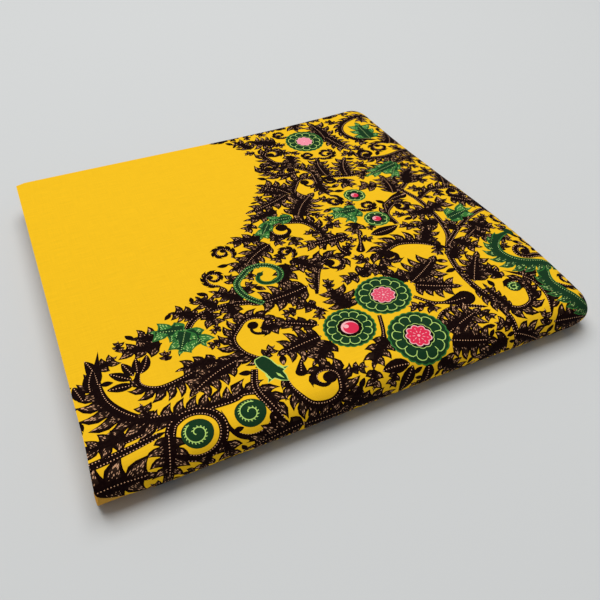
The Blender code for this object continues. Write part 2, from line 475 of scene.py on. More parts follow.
def lobed_leaf(base, heading, length, width, bend, lobes, inner=LOBE_FOOT):
    """A lobed leaf's outline, its patches as outline and line, and its midrib. Inner is the width's share
    at which the lobes have their feet."""
    rib = steered(base, math.degrees(heading), [(length, math.degrees(bend))], length / 8)
    pitch = (LAST_LOBE - FIRST_LOBE) / lobes
    sides, patches = [], []
    for side in (1, -1):
        line = [(0, 0.7), (0.5 * FIRST_LOBE * length, 0.9)]
        for lobe in range(lobes):
            start = FIRST_LOBE + pitch * (lobe + 0.12 * side)
            wide = width * fullness(start + 0.5 * pitch)
            ahead = pitch * (0.82 + 0.50 * lobe / lobes)
            foot = (start * length, inner * wide)
            tip = ((start + ahead) * length, chance.uniform(0.88, 1.16) * wide)
            next_wide = width * fullness(start + 1.5 * pitch)
            next_foot = ((start + pitch) * length, inner * next_wide)
            line += lobe_edge(foot, tip, next_foot)
            if wide > 2.4:
                patch = lobe_patch(foot, tip, next_foot)
                patches.append([[(at, side * out) for at, out in part] for part in patch])
        line += bowed(next_foot, ((LAST_LOBE + 0.10) * length, next_foot[1] * 1.25), (length, 0), 4)
        sides.append([(at, side * out) for at, out in line])
    if width > 4:
        start, wide = LAST_LOBE * length, 0.36 * width * fullness(LAST_LOBE)
        patches.append(([(start, -wide), (length * 0.93, 0), (start, wide)], [(start, 0), (length, 0)]))
    outline = beside(rib, sides[0] + [(length, 0)] + sides[1][::-1])
    patches = [[beside(rib, part) for part in patch] for patch in patches]
    return outline, patches, rib


def smooth_leaf(base, heading, length, width, bend):
    """A plain pointed leaf's outline, a patch inside it if it is short and wide enough, and its midrib."""
    rib = steered(base, math.degrees(heading), [(length, math.degrees(bend))], length / 8)

    def side(shares, width, least):
        return [
            (share * length, max(least, width * math.sin(math.pi * share**0.85) ** 0.8)) for share in shares
        ]

    left = side((0.0, 0.12, 0.26, 0.42, 0.60, 0.78, 0.90), width, 0.6)
    outline = beside(rib, left + [(length, 0)] + [(at, -out) for at, out in left[::-1]])
    patches = []
    if length < LONG_PLAIN_LEAF and width > 2.6:
        inner = side((0.50, 0.66, 0.80, 0.88), width - 1.4 * RIM, 0.0)
        patch = beside(rib, inner + [(at, -out) for at, out in inner[::-1]])
        patches = [(patch, rib[[0, -1]])]
    return outline, patches, rib


def leaf_of(base, heading, length, slenderness, bend):
    """The kind of leaf that suits a length."""
    if length < SHORTEST_LOBED_LEAF:
        return smooth_leaf(base, heading, length, length * PLAIN_SLENDERNESS, bend)
    lobes = 2 if length < SHORTEST_THREE_LOBED_LEAF else 3
    return lobed_leaf(base, heading, length, length * slenderness, bend, lobes, GROWN_LOBE_FOOT)


print("a plain leaf's outline has", len(smooth_leaf((0, 0), 0, 20, 5, 0)[0]), "points")

# %% [markdown]
# A drawn leaf is a motif for its outline, one for each flecked patch, and a mark on the map of free room.
# Green leaves and the green bud lie over the scrolls, each with a paler rim.

# %% Drawing leaves
LONG_LOBED_LEAF = 34.0


def inset(outline, distance):
    """The outline moved inwards."""
    way = np.roll(outline, -1, 0) - np.roll(outline, 1, 0)
    way /= np.maximum(np.hypot(*way.T), 1e-6)[:, None]
    x, y = outline.T
    hand = np.sign((x * np.roll(y, -1) - y * np.roll(x, -1)).sum())
    return outline + hand * distance * np.stack([-way[:, 1], way[:, 0]], 1)


def add_patches(ink, patches, on_top=False):
    """Adds flecked patches. Their lane is a random number, so that no two have the same flecks."""
    for outline, line in patches:
        long = float(np.hypot(*(line[-1] - line[0])))
        add_motif(ink, outline, line, lane=chance.uniform(0, 60), fleck_length=long, on_top=on_top)


def draw_leaf(outline, patches, rib):
    """Draws a dark leaf. A row of dots runs along its midrib if it is long for its kind."""
    long = np.hypot(*(rib[-1] - rib[0]))
    dotted = long > LONG_LOBED_LEAF or (long > LONG_PLAIN_LEAF and not patches)
    add_motif("dark", outline, rib, ONE_ROW if dotted else NO_DOTS)
    add_patches("dark", patches)
    occupy(outline)


# %% Green leaves and the bell
def green_leaf(base, heading, size, slenderness, fingers):
    """Green leaves from one point, each with a paler rim. A finger is an angle and a share of the size."""
    for angle, share in fingers:
        way = heading + math.radians(angle)
        length = size * share
        lobes = 3 if length > 34 else 2
        width = length * slenderness
        outline, patches, rib = lobed_leaf(base, way, length, width, 0, lobes, GREEN_LOBE_FOOT)
        add_motif("leaf_green", outline, rib, on_top=True)
        add_motif("deep_green", inset(outline, RIM), rib, ONE_ROW, on_top=True)
        add_patches("leaf_green", patches, on_top=True)
        occupy(outline)


def green_bell(base, heading, length):
    """A green bud like a bell, with a lime rim and two flared tips."""
    rib = steered(base, heading, [(length, 15)], length / 8)
    half = [
        (0, 0.09), (0.05, 0.14), (0.13, 0.17), (0.25, 0.19), (0.40, 0.18), (0.52, 0.18),
        (0.60, 0.22), (0.70, 0.33), (0.71, 0.22), (0.72, 0.14), (0.86, 0.10),
    ]
    places = [(share * length, out * length) for share, out in half]
    outline = beside(rib, places + [(length, 0)] + [(at, -out) for at, out in places[::-1]])
    add_motif("lime", outline, rib, on_top=True)
    add_motif("deep_green", inset(outline, 0.7), rib, on_top=True)
    for at, out in ((0.72, 0.0), (0.58, 0.2), (0.58, -0.2)):
        fleck = [(at, out - 0.03), (at + 0.16, out), (at, out + 0.03), (at - 0.10, out)]
        places = [(share * length, wide * length) for share, wide in fleck]
        add_motif("lime", beside(rib, places), rib, on_top=True)
    occupy(outline)


# %% [markdown]
# A band has rows of resist dots. A crest of lobes can stand on one side of it, like half an acanthus
# leaf, and its end can wind in to a ball. Stems are bands too, and leaves grow from both. A drop is a
# black bud on a curved stalk.


# %% Smooth lines, curls and rings
def through(points, step=2.0):
    """A smooth line through given points."""
    points = np.array(points, float)
    ends = 2 * points[[0, -1]] - points[[1, -2]]
    points = np.vstack([ends[:1], points, ends[1:]])
    line = []
    for before, start, end, after in zip(points, points[1:], points[2:], points[3:]):
        count = max(2, int(np.hypot(*(end - start)) / step))
        share = np.arange(count)[:, None] / count
        line.append(
            start + share * (end - before) / 2
            + share**2 * (2 * before - 5 * start + 4 * end - after) / 2
            + share**3 * (3 * start - before - 3 * end + after) / 2
        )
    return np.vstack(line + [points[-2:-1]])


def curled(path, radius):
    """The path, wound in at its end: to the left if the radius is positive, to the right if negative."""
    if not radius:
        return path
    way = math.degrees(math.atan2(*(path[-1] - path[-2])[::-1]))
    hand = math.copysign(1, radius)
    legs = [(length * abs(radius), turn * hand) for length, turn in ((2.1, 120), (1.6, 130), (1.0, 125))]
    return np.vstack([path[:-1], steered(path[-1], way, legs, 1.6)])


def ring(centre, radius, start, end):
    """Points of an arc from one angle to another, in degrees."""
    angle = np.radians(np.linspace(start, end, max(3, int(abs(end - start) / 25))))
    return (np.array(centre) + radius * np.stack([np.cos(angle), np.sin(angle)], 1)).tolist()


def round_line(centre, radius, count):
    """Points of a circle."""
    angle = np.arange(count) * 2 * math.pi / count
    return np.array(centre) + radius * np.stack([np.cos(angle), np.sin(angle)], 1)


def oval(centre, half_width, half_length, turn):
    """Points of an oval, turned by degrees."""
    angle = math.radians(turn)
    turned = np.array([[math.cos(angle), math.sin(angle)], [-math.sin(angle), math.cos(angle)]])
    return np.array(centre) + round_line((0, 0), 1.0, 20) * (half_width, half_length) @ turned


curl_length = measured(curled(through([(0, 0), (10, 0)]), 10))[0][-1] - 10
print(f"a curl of radius 10 mm is {curl_length:.0f} mm long")

# %% A band's outline
Crest = namedtuple("Crest", "side pitch height")
CREST_STARTS, CREST_ENDS = 0.06, 0.88


def crested_band(path, width, crest):
    """A band's outline, its crest's patches, and a function for its half width at a distance along it."""
    distance, _ = measured(path)
    total = distance[-1]
    thin_end = 0.3 if crest and crest.height > 8 else 0.75

    def half(at):
        share = min(1.0, max(0.0, at / total))
        swell = math.sin(math.pi * share) ** 0.8
        return width * (thin_end + (1 - thin_end) * swell) * (1 - 0.25 * share)

    lines, patches = {}, []
    for side in (1, -1):
        line = [(at, half(at)) for at in distance]
        if crest and crest.side == side:
            first, last = CREST_STARTS * total, CREST_ENDS * total
            count = max(2, round((last - first) / crest.pitch))
            pitch = (last - first) / count
            line = [(0, half(0))]
            for lobe in range(count):
                at = first + lobe * pitch
                grown = math.sin(math.pi * ((lobe + 0.7) / (count + 0.4)) ** 0.85) ** 0.6
                tall = crest.height * grown * chance.uniform(0.85, 1.1)
                foot, next_foot = (at, half(at)), (at + pitch, half(at + pitch))
                tip = (at + pitch * 1.15, half(at) + tall)
                line += lobe_edge(foot, tip, next_foot)
                if tall > 3:
                    parts = lobe_patch(foot, tip, next_foot)
                    patch = [[(at, side * out) for at, out in part] for part in parts]
                    patches.append([beside(path, part) for part in patch])
            line += [(at, half(at)) for at in distance if at > last]
        lines[side] = [(at, side * out) for at, out in line]
    outline = beside(path, lines[1] + [(total + 1.6 * width, 0)] + lines[-1][::-1])
    return outline, patches, half


plain_band = crested_band(through([(0, 0), (60, 0)]), 4, None)
print(f"a plain band 60 mm long is {plain_band[2](30) * 2:.1f} mm wide at its middle")

# %% Drawing bands, drops and volutes
THINNEST_TWO_ROWED = 2.0
stems = []


def draw_band(path, width, crest=None, inks=("dark", "dark"), ball=0.0, on_top=False):
    """A band along a path, with two rows of dots, or one beside its crest. Its curl's inside stays free."""
    outline, patches, half = crested_band(path, width, crest)
    rows, lane = (ONE_ROW, -crest.side * 0.45 * width) if crest else (TWO_ROWS, 0.5 * width)
    if width < THINNEST_TWO_ROWED:
        rows, lane = ONE_ROW, 0.0
    if inks[0] != inks[1]:
        add_motif(inks[0], outline, on_top=on_top)
        outline = inset(outline, 0.9)
    add_motif(inks[1], outline, path, rows, lane, on_top=on_top)
    add_patches(inks[1], patches, on_top)
    occupy(outline)
    if ball:
        add_motif(inks[1], round_line(path[-1], ball, 16), on_top=on_top)
        occupy(path[np.hypot(*(path - path[-1]).T) < 22][-24:])
    stems.append((path, half))


def draw_drop(points, head):
    """A stalk that swells to a round black head."""
    path = through(points)
    distance, _ = measured(path)
    share = distance / distance[-1]
    swell = 1.6 + (head - 1.6) * np.clip((share - 0.58) / 0.42, 0, 1) ** 0.9
    left = np.stack([distance, swell], 1)
    angle = np.linspace(math.pi / 2, -math.pi / 2, 9)[1:-1]
    cap = np.stack([distance[-1] + head * np.cos(angle), head * np.sin(angle)], 1)
    outline = beside(path, np.vstack([left, cap, left[::-1] * (1, -1)]))
    add_motif("dark", outline, path, ONE_ROW)
    occupy(outline)
    stems.append((path, lambda at: 1.0))


def draw_volute(centre, start, radius, hand, winding):
    """A crested band that leaves a start and winds in round a centre."""
    offset = np.array(start, float) - centre
    share = np.linspace(0, 1, max(12, int(winding * 2 * math.pi * radius / 2.2)))
    wound = radius * (1 - 0.62 * share**1.15)
    away = np.hypot(*offset)
    reach = away + (wound - away) * np.minimum(1, share / 0.16) ** 0.8
    angle = math.atan2(offset[1], offset[0]) + hand * 2 * math.pi * winding * share
    path = np.array(centre) + np.stack([reach * np.cos(angle), reach * np.sin(angle)], 1)
    width = max(2.0, radius * 0.26)
    draw_band(path, width, Crest(-hand, max(5.0, radius * 0.5), radius * 0.42), ball=width * 1.3)


# %% [markdown]
# The flowers are round, with a ring of petals drawn in a thin pale line on green, and a red middle. A
# whorl is a green disc with a pale toothed line that winds in.


# %% Petals and strokes
def petal_line(centre, radius, petals, depth, turn, power=1.0):
    """A line of round petals about a centre."""
    angle = np.arange(petals * 6) * 2 * math.pi / (petals * 6)
    radius = radius * (1 - depth + depth * np.abs(np.sin(angle * petals / 2)) ** power)
    return np.array(centre) + np.stack([radius * np.cos(angle + turn), radius * np.sin(angle + turn)], 1)


def bar(centre, angle, near, far, width):
    """A short straight stroke that points away from a centre."""
    way = np.array([math.cos(angle), math.sin(angle)])
    side = np.array([-way[1], way[0]]) * width / 2
    return np.array([way * near - side, way * far - side, way * far + side, way * near + side]) + centre


print("a line of 12 petals has", len(petal_line((0, 0), 20, 12, 0.13, 0)), "points")


# %% Drawing flowers and whorls
def draw_flower(centre, radius, petals, middle, turn, stretch):
    """A round flower. Its stretch is its length over its width. Its middle is an ink, or None for a ball."""
    shapes = [
        ("leaf_green", petal_line((0, 0), radius, petals * 2, 0.04, turn)),
        ("deep_green", petal_line((0, 0), radius - 1.1, petals * 2, 0.04, turn)),
        ("lime", petal_line((0, 0), radius * 0.86, petals, 0.13, turn, 0.5)),
        ("deep_green", petal_line((0, 0), radius * 0.86 - 0.7, petals, 0.14, turn, 0.5)),
    ]
    for petal in range(petals):
        angle = turn + 2 * math.pi * petal / petals
        near, far = chance.uniform(0.55, 0.60) * radius, 0.74 * radius
        shapes.append(("lime", bar((0, 0), angle + chance.uniform(-0.06, 0.06), near, far, 0.6)))
    if radius > 15:
        shapes.append(("lime", petal_line((0, 0), radius * 0.50, petals, 0.07, turn + 0.1)))
    shapes.append(("dark", petal_line((0, 0), radius * 0.50 - 0.5, petals, 0.07, turn + 0.1)))
    if middle:
        shapes.append(("pink", petal_line((0, 0), radius * 0.43, 9, 0.16, turn)))
        shapes.append((middle, petal_line((0, 0), radius * 0.43 - 0.8, 9, 0.18, turn)))
        for spot in range(9):
            angle = turn + 2 * math.pi / 9 * (spot + 0.5)
            shapes.append(("pink", bar((0, 0), angle, radius * 0.12, radius * 0.20, 0.5)))
            shapes.append(("pink", bar((0, 0), angle, radius * 0.25, radius * 0.30, 0.5)))
        shapes.append(("pink", round_line((0, 0), radius * 0.05, 8)))
    else:
        shapes.append(("pink", round_line((0, 0), radius * 0.33, 22)))
        shapes.append(("red", round_line((radius * 0.035, -radius * 0.035), radius * 0.29, 20)))
        shapes.append(("pink", round_line((-radius * 0.10, radius * 0.10), radius * 0.10, 12)))
    for ink, outline in shapes:
        add_motif(ink, np.array(centre) + outline * (1, stretch), on_top=True)
    occupy(np.array(centre) + shapes[0][1] * (1, stretch))


def draw_whorl(centre, radius, turn):
    """A green disc with a pale line that winds in."""
    add_motif("deep_green", round_line(centre, radius, 26), on_top=True)
    share = np.linspace(0, 1, 26)
    reach = radius * (0.80 - 0.66 * share)
    angle = turn + share * 2.6 * math.pi
    path = np.array(centre) + np.stack([reach * np.cos(angle), reach * np.sin(angle)], 1)
    distance, _ = measured(path)
    line = [(at, 0.35) for at in distance]
    add_motif("lime", beside(path, line + [(at, -out) for at, out in line[::-1]]), on_top=True)
    for at in np.arange(1.0, distance[-1] - 2, 1.9):
        tooth = [(at - 0.3, 0), (at + 0.4, 0), (at + 0.9, -1.5), (at + 0.3, -1.3)]
        add_motif("lime", beside(path, tooth), on_top=True)
    occupy(round_line(centre, radius, 26))


# %% [markdown]
# The layout is this script's own. Flowers, green pieces and main scrolls stand roughly where a buyer sees
# them on the folded cloth: three large flowers near the front, small ones behind them, a green scroll at
# the right.
#
# Each row of a table is one motif, in millimetres and degrees. Places count from the middle of the
# stack's top; those in front of -166 lie round the fold or on the underside.

# %% Flowers and green pieces
Flower = namedtuple("Flower", "centre radius petals middle turn stretch")
FLOWERS = [
    Flower((36.5, -107), 22, 12, "rose", 0.2, 1.0),
    Flower((-2, -128), 19.5, 12, None, 0.1, 1.04),
    Flower((39, -157), 22.5, 12, "red", 0.4, 1.13),
    Flower((91, 140), 19.5, 11, "pale_rose", 0.1, 1.1),
    Flower((83, -15), 11, 7, None, 0.3, 1.05),
    Flower((85.5, 27), 10, 7, None, 0.6, 1.05),
]
Whorl = namedtuple("Whorl", "centre radius turn")
WHORLS = [Whorl((-129, -170), 10.5, 2.0), Whorl((-93, -169), 10.5, 1.0), Whorl((133, -142), 5.5, 0.5)]
ONE_FINGER = ((0, 1.0),)
GreenLeaf = namedtuple("GreenLeaf", "base heading size slenderness fingers")
GREEN_LEAVES = [
    GreenLeaf((-109, -78), 240, 27, 0.40, ((-78, 1.0), (52, 0.95), (5, 1.0))),
    GreenLeaf((137, -42), 10, 31, 0.36, ONE_FINGER),
    GreenLeaf((156, 115), 86, 39, 0.36, ONE_FINGER),
    GreenLeaf((76, 6), 172, 29, 0.34, ((45, 0.85), (0, 1.0))),
    GreenLeaf((152, 61), 194, 42, 0.22, ((36, 0.75), (0, 1.0))),
    GreenLeaf((19, 20), 172, 27, 0.28, ONE_FINGER),
    GreenLeaf((-3, 21), 232, 27, 0.28, ONE_FINGER),
]
GREEN = ("leaf_green", "deep_green")
GreenBand = namedtuple("GreenBand", "points curl width crest")
GREEN_BANDS = [
    GreenBand([(190, -186), (176, -178), (165, -162), (163, -146), (172, -130)], 0, 6.0, Crest(1, 7, 8)),
    GreenBand([(200, -130), (180, -128), (160, -122), (149, -110), (148, -96), (158, -85), (174, -80)], 0, 6,
              Crest(1, 7, 9)),
    GreenBand([(-48, -76), (-57, -62), (-58, -46), (-47, -35)], -15, 3.2, None),
]
print("flowers, whorls, green leaves and green bands:",
      len(FLOWERS), len(WHORLS), len(GREEN_LEAVES), len(GREEN_BANDS))

# %% [markdown]
# A scroll runs through listed points, and can end in a curl with a ball. A leaf is set by its base,
# heading, length, half width, bend and number of lobes on each side; one without lobes is a plain pointed
# leaf. Pockets are places that stay plain yellow.

# %% Scrolls
Scroll = namedtuple("Scroll", "points curl width crest")
SCROLLS = [
    Scroll([(-206, -150), (-176, -157), (-140, -152)] + ring((-93, -169), 17, 120, -190), 0, 4.2,
           Crest(1, 8, 9)),
    Scroll([(-150, -226), (-155, -202), (-151, -184)] + ring((-129, -170), 17, 150, -160), 0, 4.2, None),
    Scroll([(-206, -168), (-180, -166), (-152, -162)], 0, 3.6, None),
    Scroll([(-136, -153), (-160, -146), (-176, -127), (-180, -106), (-174, -82)], 0, 6.5, Crest(1, 8, 14)),
    Scroll([(-70, -128), (-86, -121), (-104, -119), (-124, -124), (-142, -125), (-153, -115), (-148, -98)],
           0, 4.2, Crest(1, 6.5, 12)),
    Scroll([(-62, -150), (-68, -134), (-80, -118), (-82, -102), (-72, -90)], -12, 3.4, Crest(1, 7, 9)),
    Scroll([(-62, -146), (-62, -164), (-54, -179), (-40, -183), (-30, -178), (-27, -168)], 10, 4.2,
           Crest(-1, 7, 9)),
    Scroll([(-78, -136), (-83, -152), (-80, -168), (-74, -184)], 0, 3.2, None),
    Scroll([(-112, -84), (-98, -69), (-74, -66), (-50, -73), (-28, -84), (-12, -102)], 0, 3.4, None),
    Scroll([(22, -36), (31, -14), (26, 8), (10, 17)], 12, 4.4, Crest(-1, 8, 9)),
    Scroll([(36, 36), (38, 56), (48, 71)], -10, 3.6, Crest(1, 7, 9)),
    Scroll([(66, 58), (70, 82), (60, 97)], 9, 3.6, Crest(-1, 7, 8)),
    Scroll([(60, 88), (40, 90), (31, 101)], -7, 3.4, Crest(1, 8, 8)),
    Scroll([(60, 106), (46, 112), (41, 126)], -9, 3.4, Crest(1, 7, 8)),
    Scroll([(204, 160), (172, 165), (147, 158), (136, 142), (140, 124), (156, 113)], 0, 3.6,
           Crest(-1, 8, 6)),
    Scroll([(204, 98), (178, 82), (152, 76), (134, 80)], -8, 3.6, Crest(1, 7, 8)),
    Scroll([(204, 78), (172, 66), (140, 60), (106, 59), (82, 66)], 6, 3.2, Crest(-1, 7, 8)),
    Scroll([(112, -206), (110, -160), (104, -118), (109, -86), (124, -62), (130, -36), (132, -6), (128, 22),
            (138, 44), (152, 72)], 0, 3.1, None),
    Scroll([(118, -72), (142, -55), (168, -44), (206, -34)], 0, 3.0, None),
    Scroll([(112, -78), (98, -62), (80, -54), (64, -58)], 8, 4.6, Crest(-1, 7, 11)),
    Scroll([(-8, -84), (2, -62), (10, -50)], -10, 3.8, Crest(1, 7, 9)),
    Scroll([(104, -126), (109, -148), (121, -164), (136, -162), (143, -146)], 8, 3.4, Crest(-1, 8, 8)),
    Scroll([(146, -176), (153, -158), (151, -138), (140, -126)], 0, 3.6, Crest(-1, 7, 10)),
    Scroll([(200, -104), (184, -114), (170, -116)], -8, 3.6, None),
    Scroll([(94, -30), (95, -12), (106, -2)], -7, 3.0, Crest(1, 7, 6)),
    Scroll([(134, -4), (150, 4), (168, 2)], -9, 3.4, Crest(1, 7, 8)),
    Scroll([(130, 18), (146, 28), (172, 30), (206, 44)], 0, 3.2, None),
    Scroll([(56, -154), (68, -144), (84, -144), (98, -151)], 0, 2.6, None),
    Scroll([(-200, -240), (-170, -216), (-140, -214)], -12, 4.0, Crest(1, 8, 10)),
    Scroll([(-96, -250), (-70, -220), (-40, -214)], -12, 4.0, Crest(1, 8, 10)),
    Scroll([(10, -250), (30, -224), (60, -216)], -12, 4.0, Crest(1, 8, 10)),
    Scroll([(110, -206), (130, -222), (156, -220)], 12, 4.0, Crest(-1, 8, 10)),
]

# %% Drops
Drop = namedtuple("Drop", "points head")
DROPS = [
    Drop([(56, -119), (66, -131), (78, -136), (91, -137)], 8.0),
    Drop([(96, -10), (102, 2), (114, 7), (122, 8)], 5.5),
    Drop([(38, -26), (34, -38), (36, -48)], 3.8),
    Drop([(58, -28), (53, -40), (48, -49)], 3.8),
    Drop([(23, -126), (18, -142), (11, -156)], 3.4),
    Drop([(-38, -138), (-46, -143), (-50, -152)], 4.2),
    Drop([(-88, -184), (-80, -186), (-79, -178)], 4.0),
]

# %% Leaves
Leaf = namedtuple("Leaf", "base heading length width bend lobes")
LEAVES = [
    Leaf((-86, -123), 190, 44, 15, 30, 4),
    Leaf((-98, -117), 166, 30, 9, 20, 3),
    Leaf((-10, -72), 192, 48, 16, -20, 4),
    Leaf((-24, -127), 182, 36, 17, 10, 4),
    Leaf((-20, -134), 224, 28, 11, -10, 3),
    Leaf((-21, -116), 145, 42, 8, 10, 4),
    Leaf((7, -110), 95, 32, 15, 10, 3),
    Leaf((62, -104), 24, 42, 20, 15, 4),
    Leaf((63, -107), -32, 38, 14, 10, 4),
    Leaf((61, -102), 112, 26, 11, 0, 3),
    Leaf((60, -164), 24, 38, 18, -10, 4),
    Leaf((58, -170), -22, 38, 16, 10, 4),
    Leaf((18, -150), 206, 32, 11, 0, 3),
    Leaf((108, -124), 58, 40, 15, -10, 4),
    Leaf((130, -130), 100, 24, 9, 0, 3),
    Leaf((56, -80), 156, 26, 9, 0, 3),
    Leaf((101, -62), 42, 28, 11, 0, 3),
    Leaf((66, -34), -6, 28, 6, 0, 0),
    Leaf((166, -58), 202, 38, 13, 10, 4),
    Leaf((150, -54), -66, 26, 10, 0, 3),
    Leaf((-80, -64), 140, 22, 10, 0, 3),
    Leaf((-60, -66), 124, 30, 10, 20, 3),
    Leaf((-98, -68), 128, 22, 10, 0, 3),
    Leaf((-88, -67), -102, 20, 9, 0, 2),
    Leaf((-72, -67), -86, 20, 10, 0, 2),
    Leaf((-128, -80), 138, 22, 11, 0, 3),
    Leaf((-128, -84), 186, 34, 10, 0, 3),
    Leaf((-208, -186), 10, 52, 16, 0, 3),
    Leaf((117, -161), 103, 33, 7, -10, 4),
    Leaf((143, -160), 82, 26, 6, 10, 3),
    Leaf((-170, -152), 200, 34, 10, 0, 3),
    Leaf((-146, -164), 256, 36, 13, 0, 4),
    Leaf((-60, -190), 184, 46, 13, 10, 4),
    Leaf((-62, -192), -6, 46, 13, 10, 4),
    Leaf((-16, -180), 216, 26, 9, 0, 3),
    Leaf((-22, -192), 4, 34, 9, 0, 3),
    Leaf((22, -176), 166, 21, 5.5, 20, 0),
    Leaf((24, -178), 232, 24, 5.5, 20, 0),
    Leaf((36, -180), 266, 24, 5.5, -20, 0),
    Leaf((46, -180), -58, 30, 10, 0, 3),
    Leaf((104, -184), 196, 34, 13, 0, 4),
    Leaf((110, -182), -20, 36, 13, 0, 4),
    Leaf((146, -184), -10, 40, 14, 0, 4),
    Leaf((-14, -38), 255, 34, 11, 0, 3),
    Leaf((-6, -34), -70, 34, 11, 0, 3),
    Leaf((50, -26), 177, 48, 10, 0, 4),
    Leaf((-30, -22), 190, 30, 12, 10, 3),
    Leaf((-14, -8), 200, 40, 14, 30, 4),
    Leaf((-16, 2), 160, 32, 10, 20, 3),
    Leaf((24, 18), 62, 44, 19, 0, 4),
    Leaf((30, 56), 206, 48, 11, -20, 4),
    Leaf((12, 36), 196, 34, 10, 0, 3),
    Leaf((34, 56), 112, 36, 14, 0, 4),
    Leaf((28, 60), 152, 26, 9, 0, 3),
    Leaf((64, 62), -86, 26, 10, 0, 3),
    Leaf((80, 68), 96, 38, 13, 0, 4),
    Leaf((98, 62), 82, 36, 12, 0, 4),
    Leaf((92, 58), -110, 20, 9, 0, 2),
    Leaf((112, 132), 74, 44, 17, 0, 4),
    Leaf((116, 138), -84, 38, 13, 0, 4),
    Leaf((64, 150), 168, 32, 14, 0, 4),
    Leaf((34, 148), 100, 28, 9, 0, 3),
    Leaf((66, 120), 240, 26, 10, 0, 3),
    Leaf((168, 98), 50, 38, 15, 30, 4),
    Leaf((118, 14), 62, 36, 13, 0, 4),
    Leaf((140, 22), 70, 34, 13, 0, 4),
    Leaf((160, -14), -50, 36, 13, 0, 4),
    Leaf((170, 8), 60, 36, 13, 0, 4),
    Leaf((134, -28), 150, 30, 12, 0, 3),
    Leaf((127, -44), 158, 26, 11, 0, 3),
    Leaf((132, -60), 70, 20, 9, 0, 2),
    Leaf((178, -40), 82, 30, 12, 0, 3),
    Leaf((150, -50), 74, 16, 7, 0, 2),
    Leaf((108, -92), 40, 24, 10, 0, 3),
    Leaf((124, -70), -70, 26, 11, 0, 3),
    Leaf((146, -70), -60, 18, 8, 0, 2),
    Leaf((160, -136), 150, 16, 7, 0, 2),
    Leaf((-60, -100), -8, 20, 9, 0, 2),
    Leaf((-14, -96), 150, 18, 8, 0, 2),
    Leaf((30, -78), 20, 22, 9, 0, 2),
    Leaf((-149, -106), 48, 18, 3.8, 30, 0),
    Leaf((-151, -105), 82, 15, 3.4, 0, 0),
    Leaf((-154, -106), 108, 16, 3.6, 0, 0),
    Leaf((-156, -109), 138, 18, 4.0, 0, 0),
    Leaf((-156, -114), 172, 18, 4.0, 0, 0),
    Leaf((-178, -104), 84, 27, 5.0, 30, 0),
    Leaf((-184, -108), 92, 21, 4.6, 0, 0),
    Leaf((-190, -114), 104, 16, 4.4, 0, 0),
]

# %% Pockets
Pocket = namedtuple("Pocket", "centre half_width half_length turn")
POCKETS = [
    Pocket((-128, -108), 24, 7, 0),
    Pocket((-66, -106), 11, 13, 0),
    Pocket((-170, -122), 5, 14, 30),
    Pocket((-46, -168), 13, 10, 0),
    Pocket((128, -146), 5, 14, 0),
    Pocket((82, -67), 16, 6, -20),
    Pocket((113, -94), 6, 9, -20),
    Pocket((8, 4), 13, 12, 0),
    Pocket((153, 138), 14, 19, 0),
    Pocket((-190, -86), 10, 8, 0),
    Pocket((-180, -170), 17, 3.5, 0),
    Pocket((-186, -154), 7, 2.5, 0),
    Pocket((55, 60), 9, 9, 0),
    Pocket((55, 86), 9, 9, 0),
    Pocket((50, 124), 8, 9, 0),
    Pocket((-10, -150), 8, 10, 0),
    Pocket((76, -128), 14, 5, 10),
    Pocket((14, -64), 9, 9, 0),
    Pocket((106, 18), 12, 5, 20),
]
print("scrolls, drops, leaves and pockets:", len(SCROLLS), len(DROPS), len(LEAVES), len(POCKETS))


# %% [markdown]
# The flowers and green pieces are drawn first, so that the rest keeps clear of them. A large leaf whose bend
# isn't set takes the one that keeps most of it clear of what is there already.


# %% Drawing the layout
BENDS = (36, -36, 22, -22, 0)
SHORTEST_BENT_LEAF = 19


def best_bend(leaf, number):
    """The bend that keeps most of a leaf clear of motifs. Every other leaf tries the other hand first."""
    best, most_free = 0, -1.0
    hand = 1 if number % 2 else -1
    for bend in BENDS:
        shape = leaf.base, math.radians(leaf.heading), leaf.length, leaf.width
        outline, _, _ = smooth_leaf(*shape, math.radians(bend * hand))
        free = (look(outline)[0] > 1.0).mean()
        if free > most_free + 0.02:
            best, most_free = bend * hand, free
    return best


for flower in FLOWERS:
    draw_flower(*flower)
for whorl in WHORLS:
    draw_whorl(*whorl)
for band in GREEN_BANDS:
    draw_band(curled(through(band.points), band.curl), band.width, band.crest, GREEN, band.width * 0.8, True)
for item in GREEN_LEAVES:
    green_leaf(item.base, math.radians(item.heading), item.size, item.slenderness, item.fingers)
green_bell((-72, -127), -76, 31)
for scroll in SCROLLS:
    path = curled(through(scroll.points), scroll.curl)
    draw_band(path, scroll.width, scroll.crest, ball=scroll.width * 1.2 if scroll.curl else 0)
for drop in DROPS:
    draw_drop(*drop)
for pocket in POCKETS:
    occupy(oval(*pocket))
for number, leaf in enumerate(LEAVES):
    bend = leaf.bend or (best_bend(leaf, number) if leaf.length > SHORTEST_BENT_LEAF else 0)
    shape = leaf.base, math.radians(leaf.heading), leaf.length, leaf.width, math.radians(bend)
    draw_leaf(*(lobed_leaf(*shape, leaf.lobes) if leaf.lobes else smooth_leaf(*shape)))
print(len(motifs), "motifs placed by hand")


# %% [markdown]
# The rest grows by rule: volutes in the widest rooms, large leaves along the stems, more volutes and
# large leaves in the rooms that are left, smaller leaves along the stems, and small leaves in the gaps,
# the smallest only in the front strip, which is the densest part of the print. Leaves may overlap a
# little. The random numbers start from a fixed seed, so each run draws the same cloth.


# %% Leaves along the stems
LEAF_GAP = 0.7
OVERLAP = 0.10
MOST_OFF_PRINT = 0.2
STEM_ANGLES = (52, 70, 34)
SHRINK = 0.88


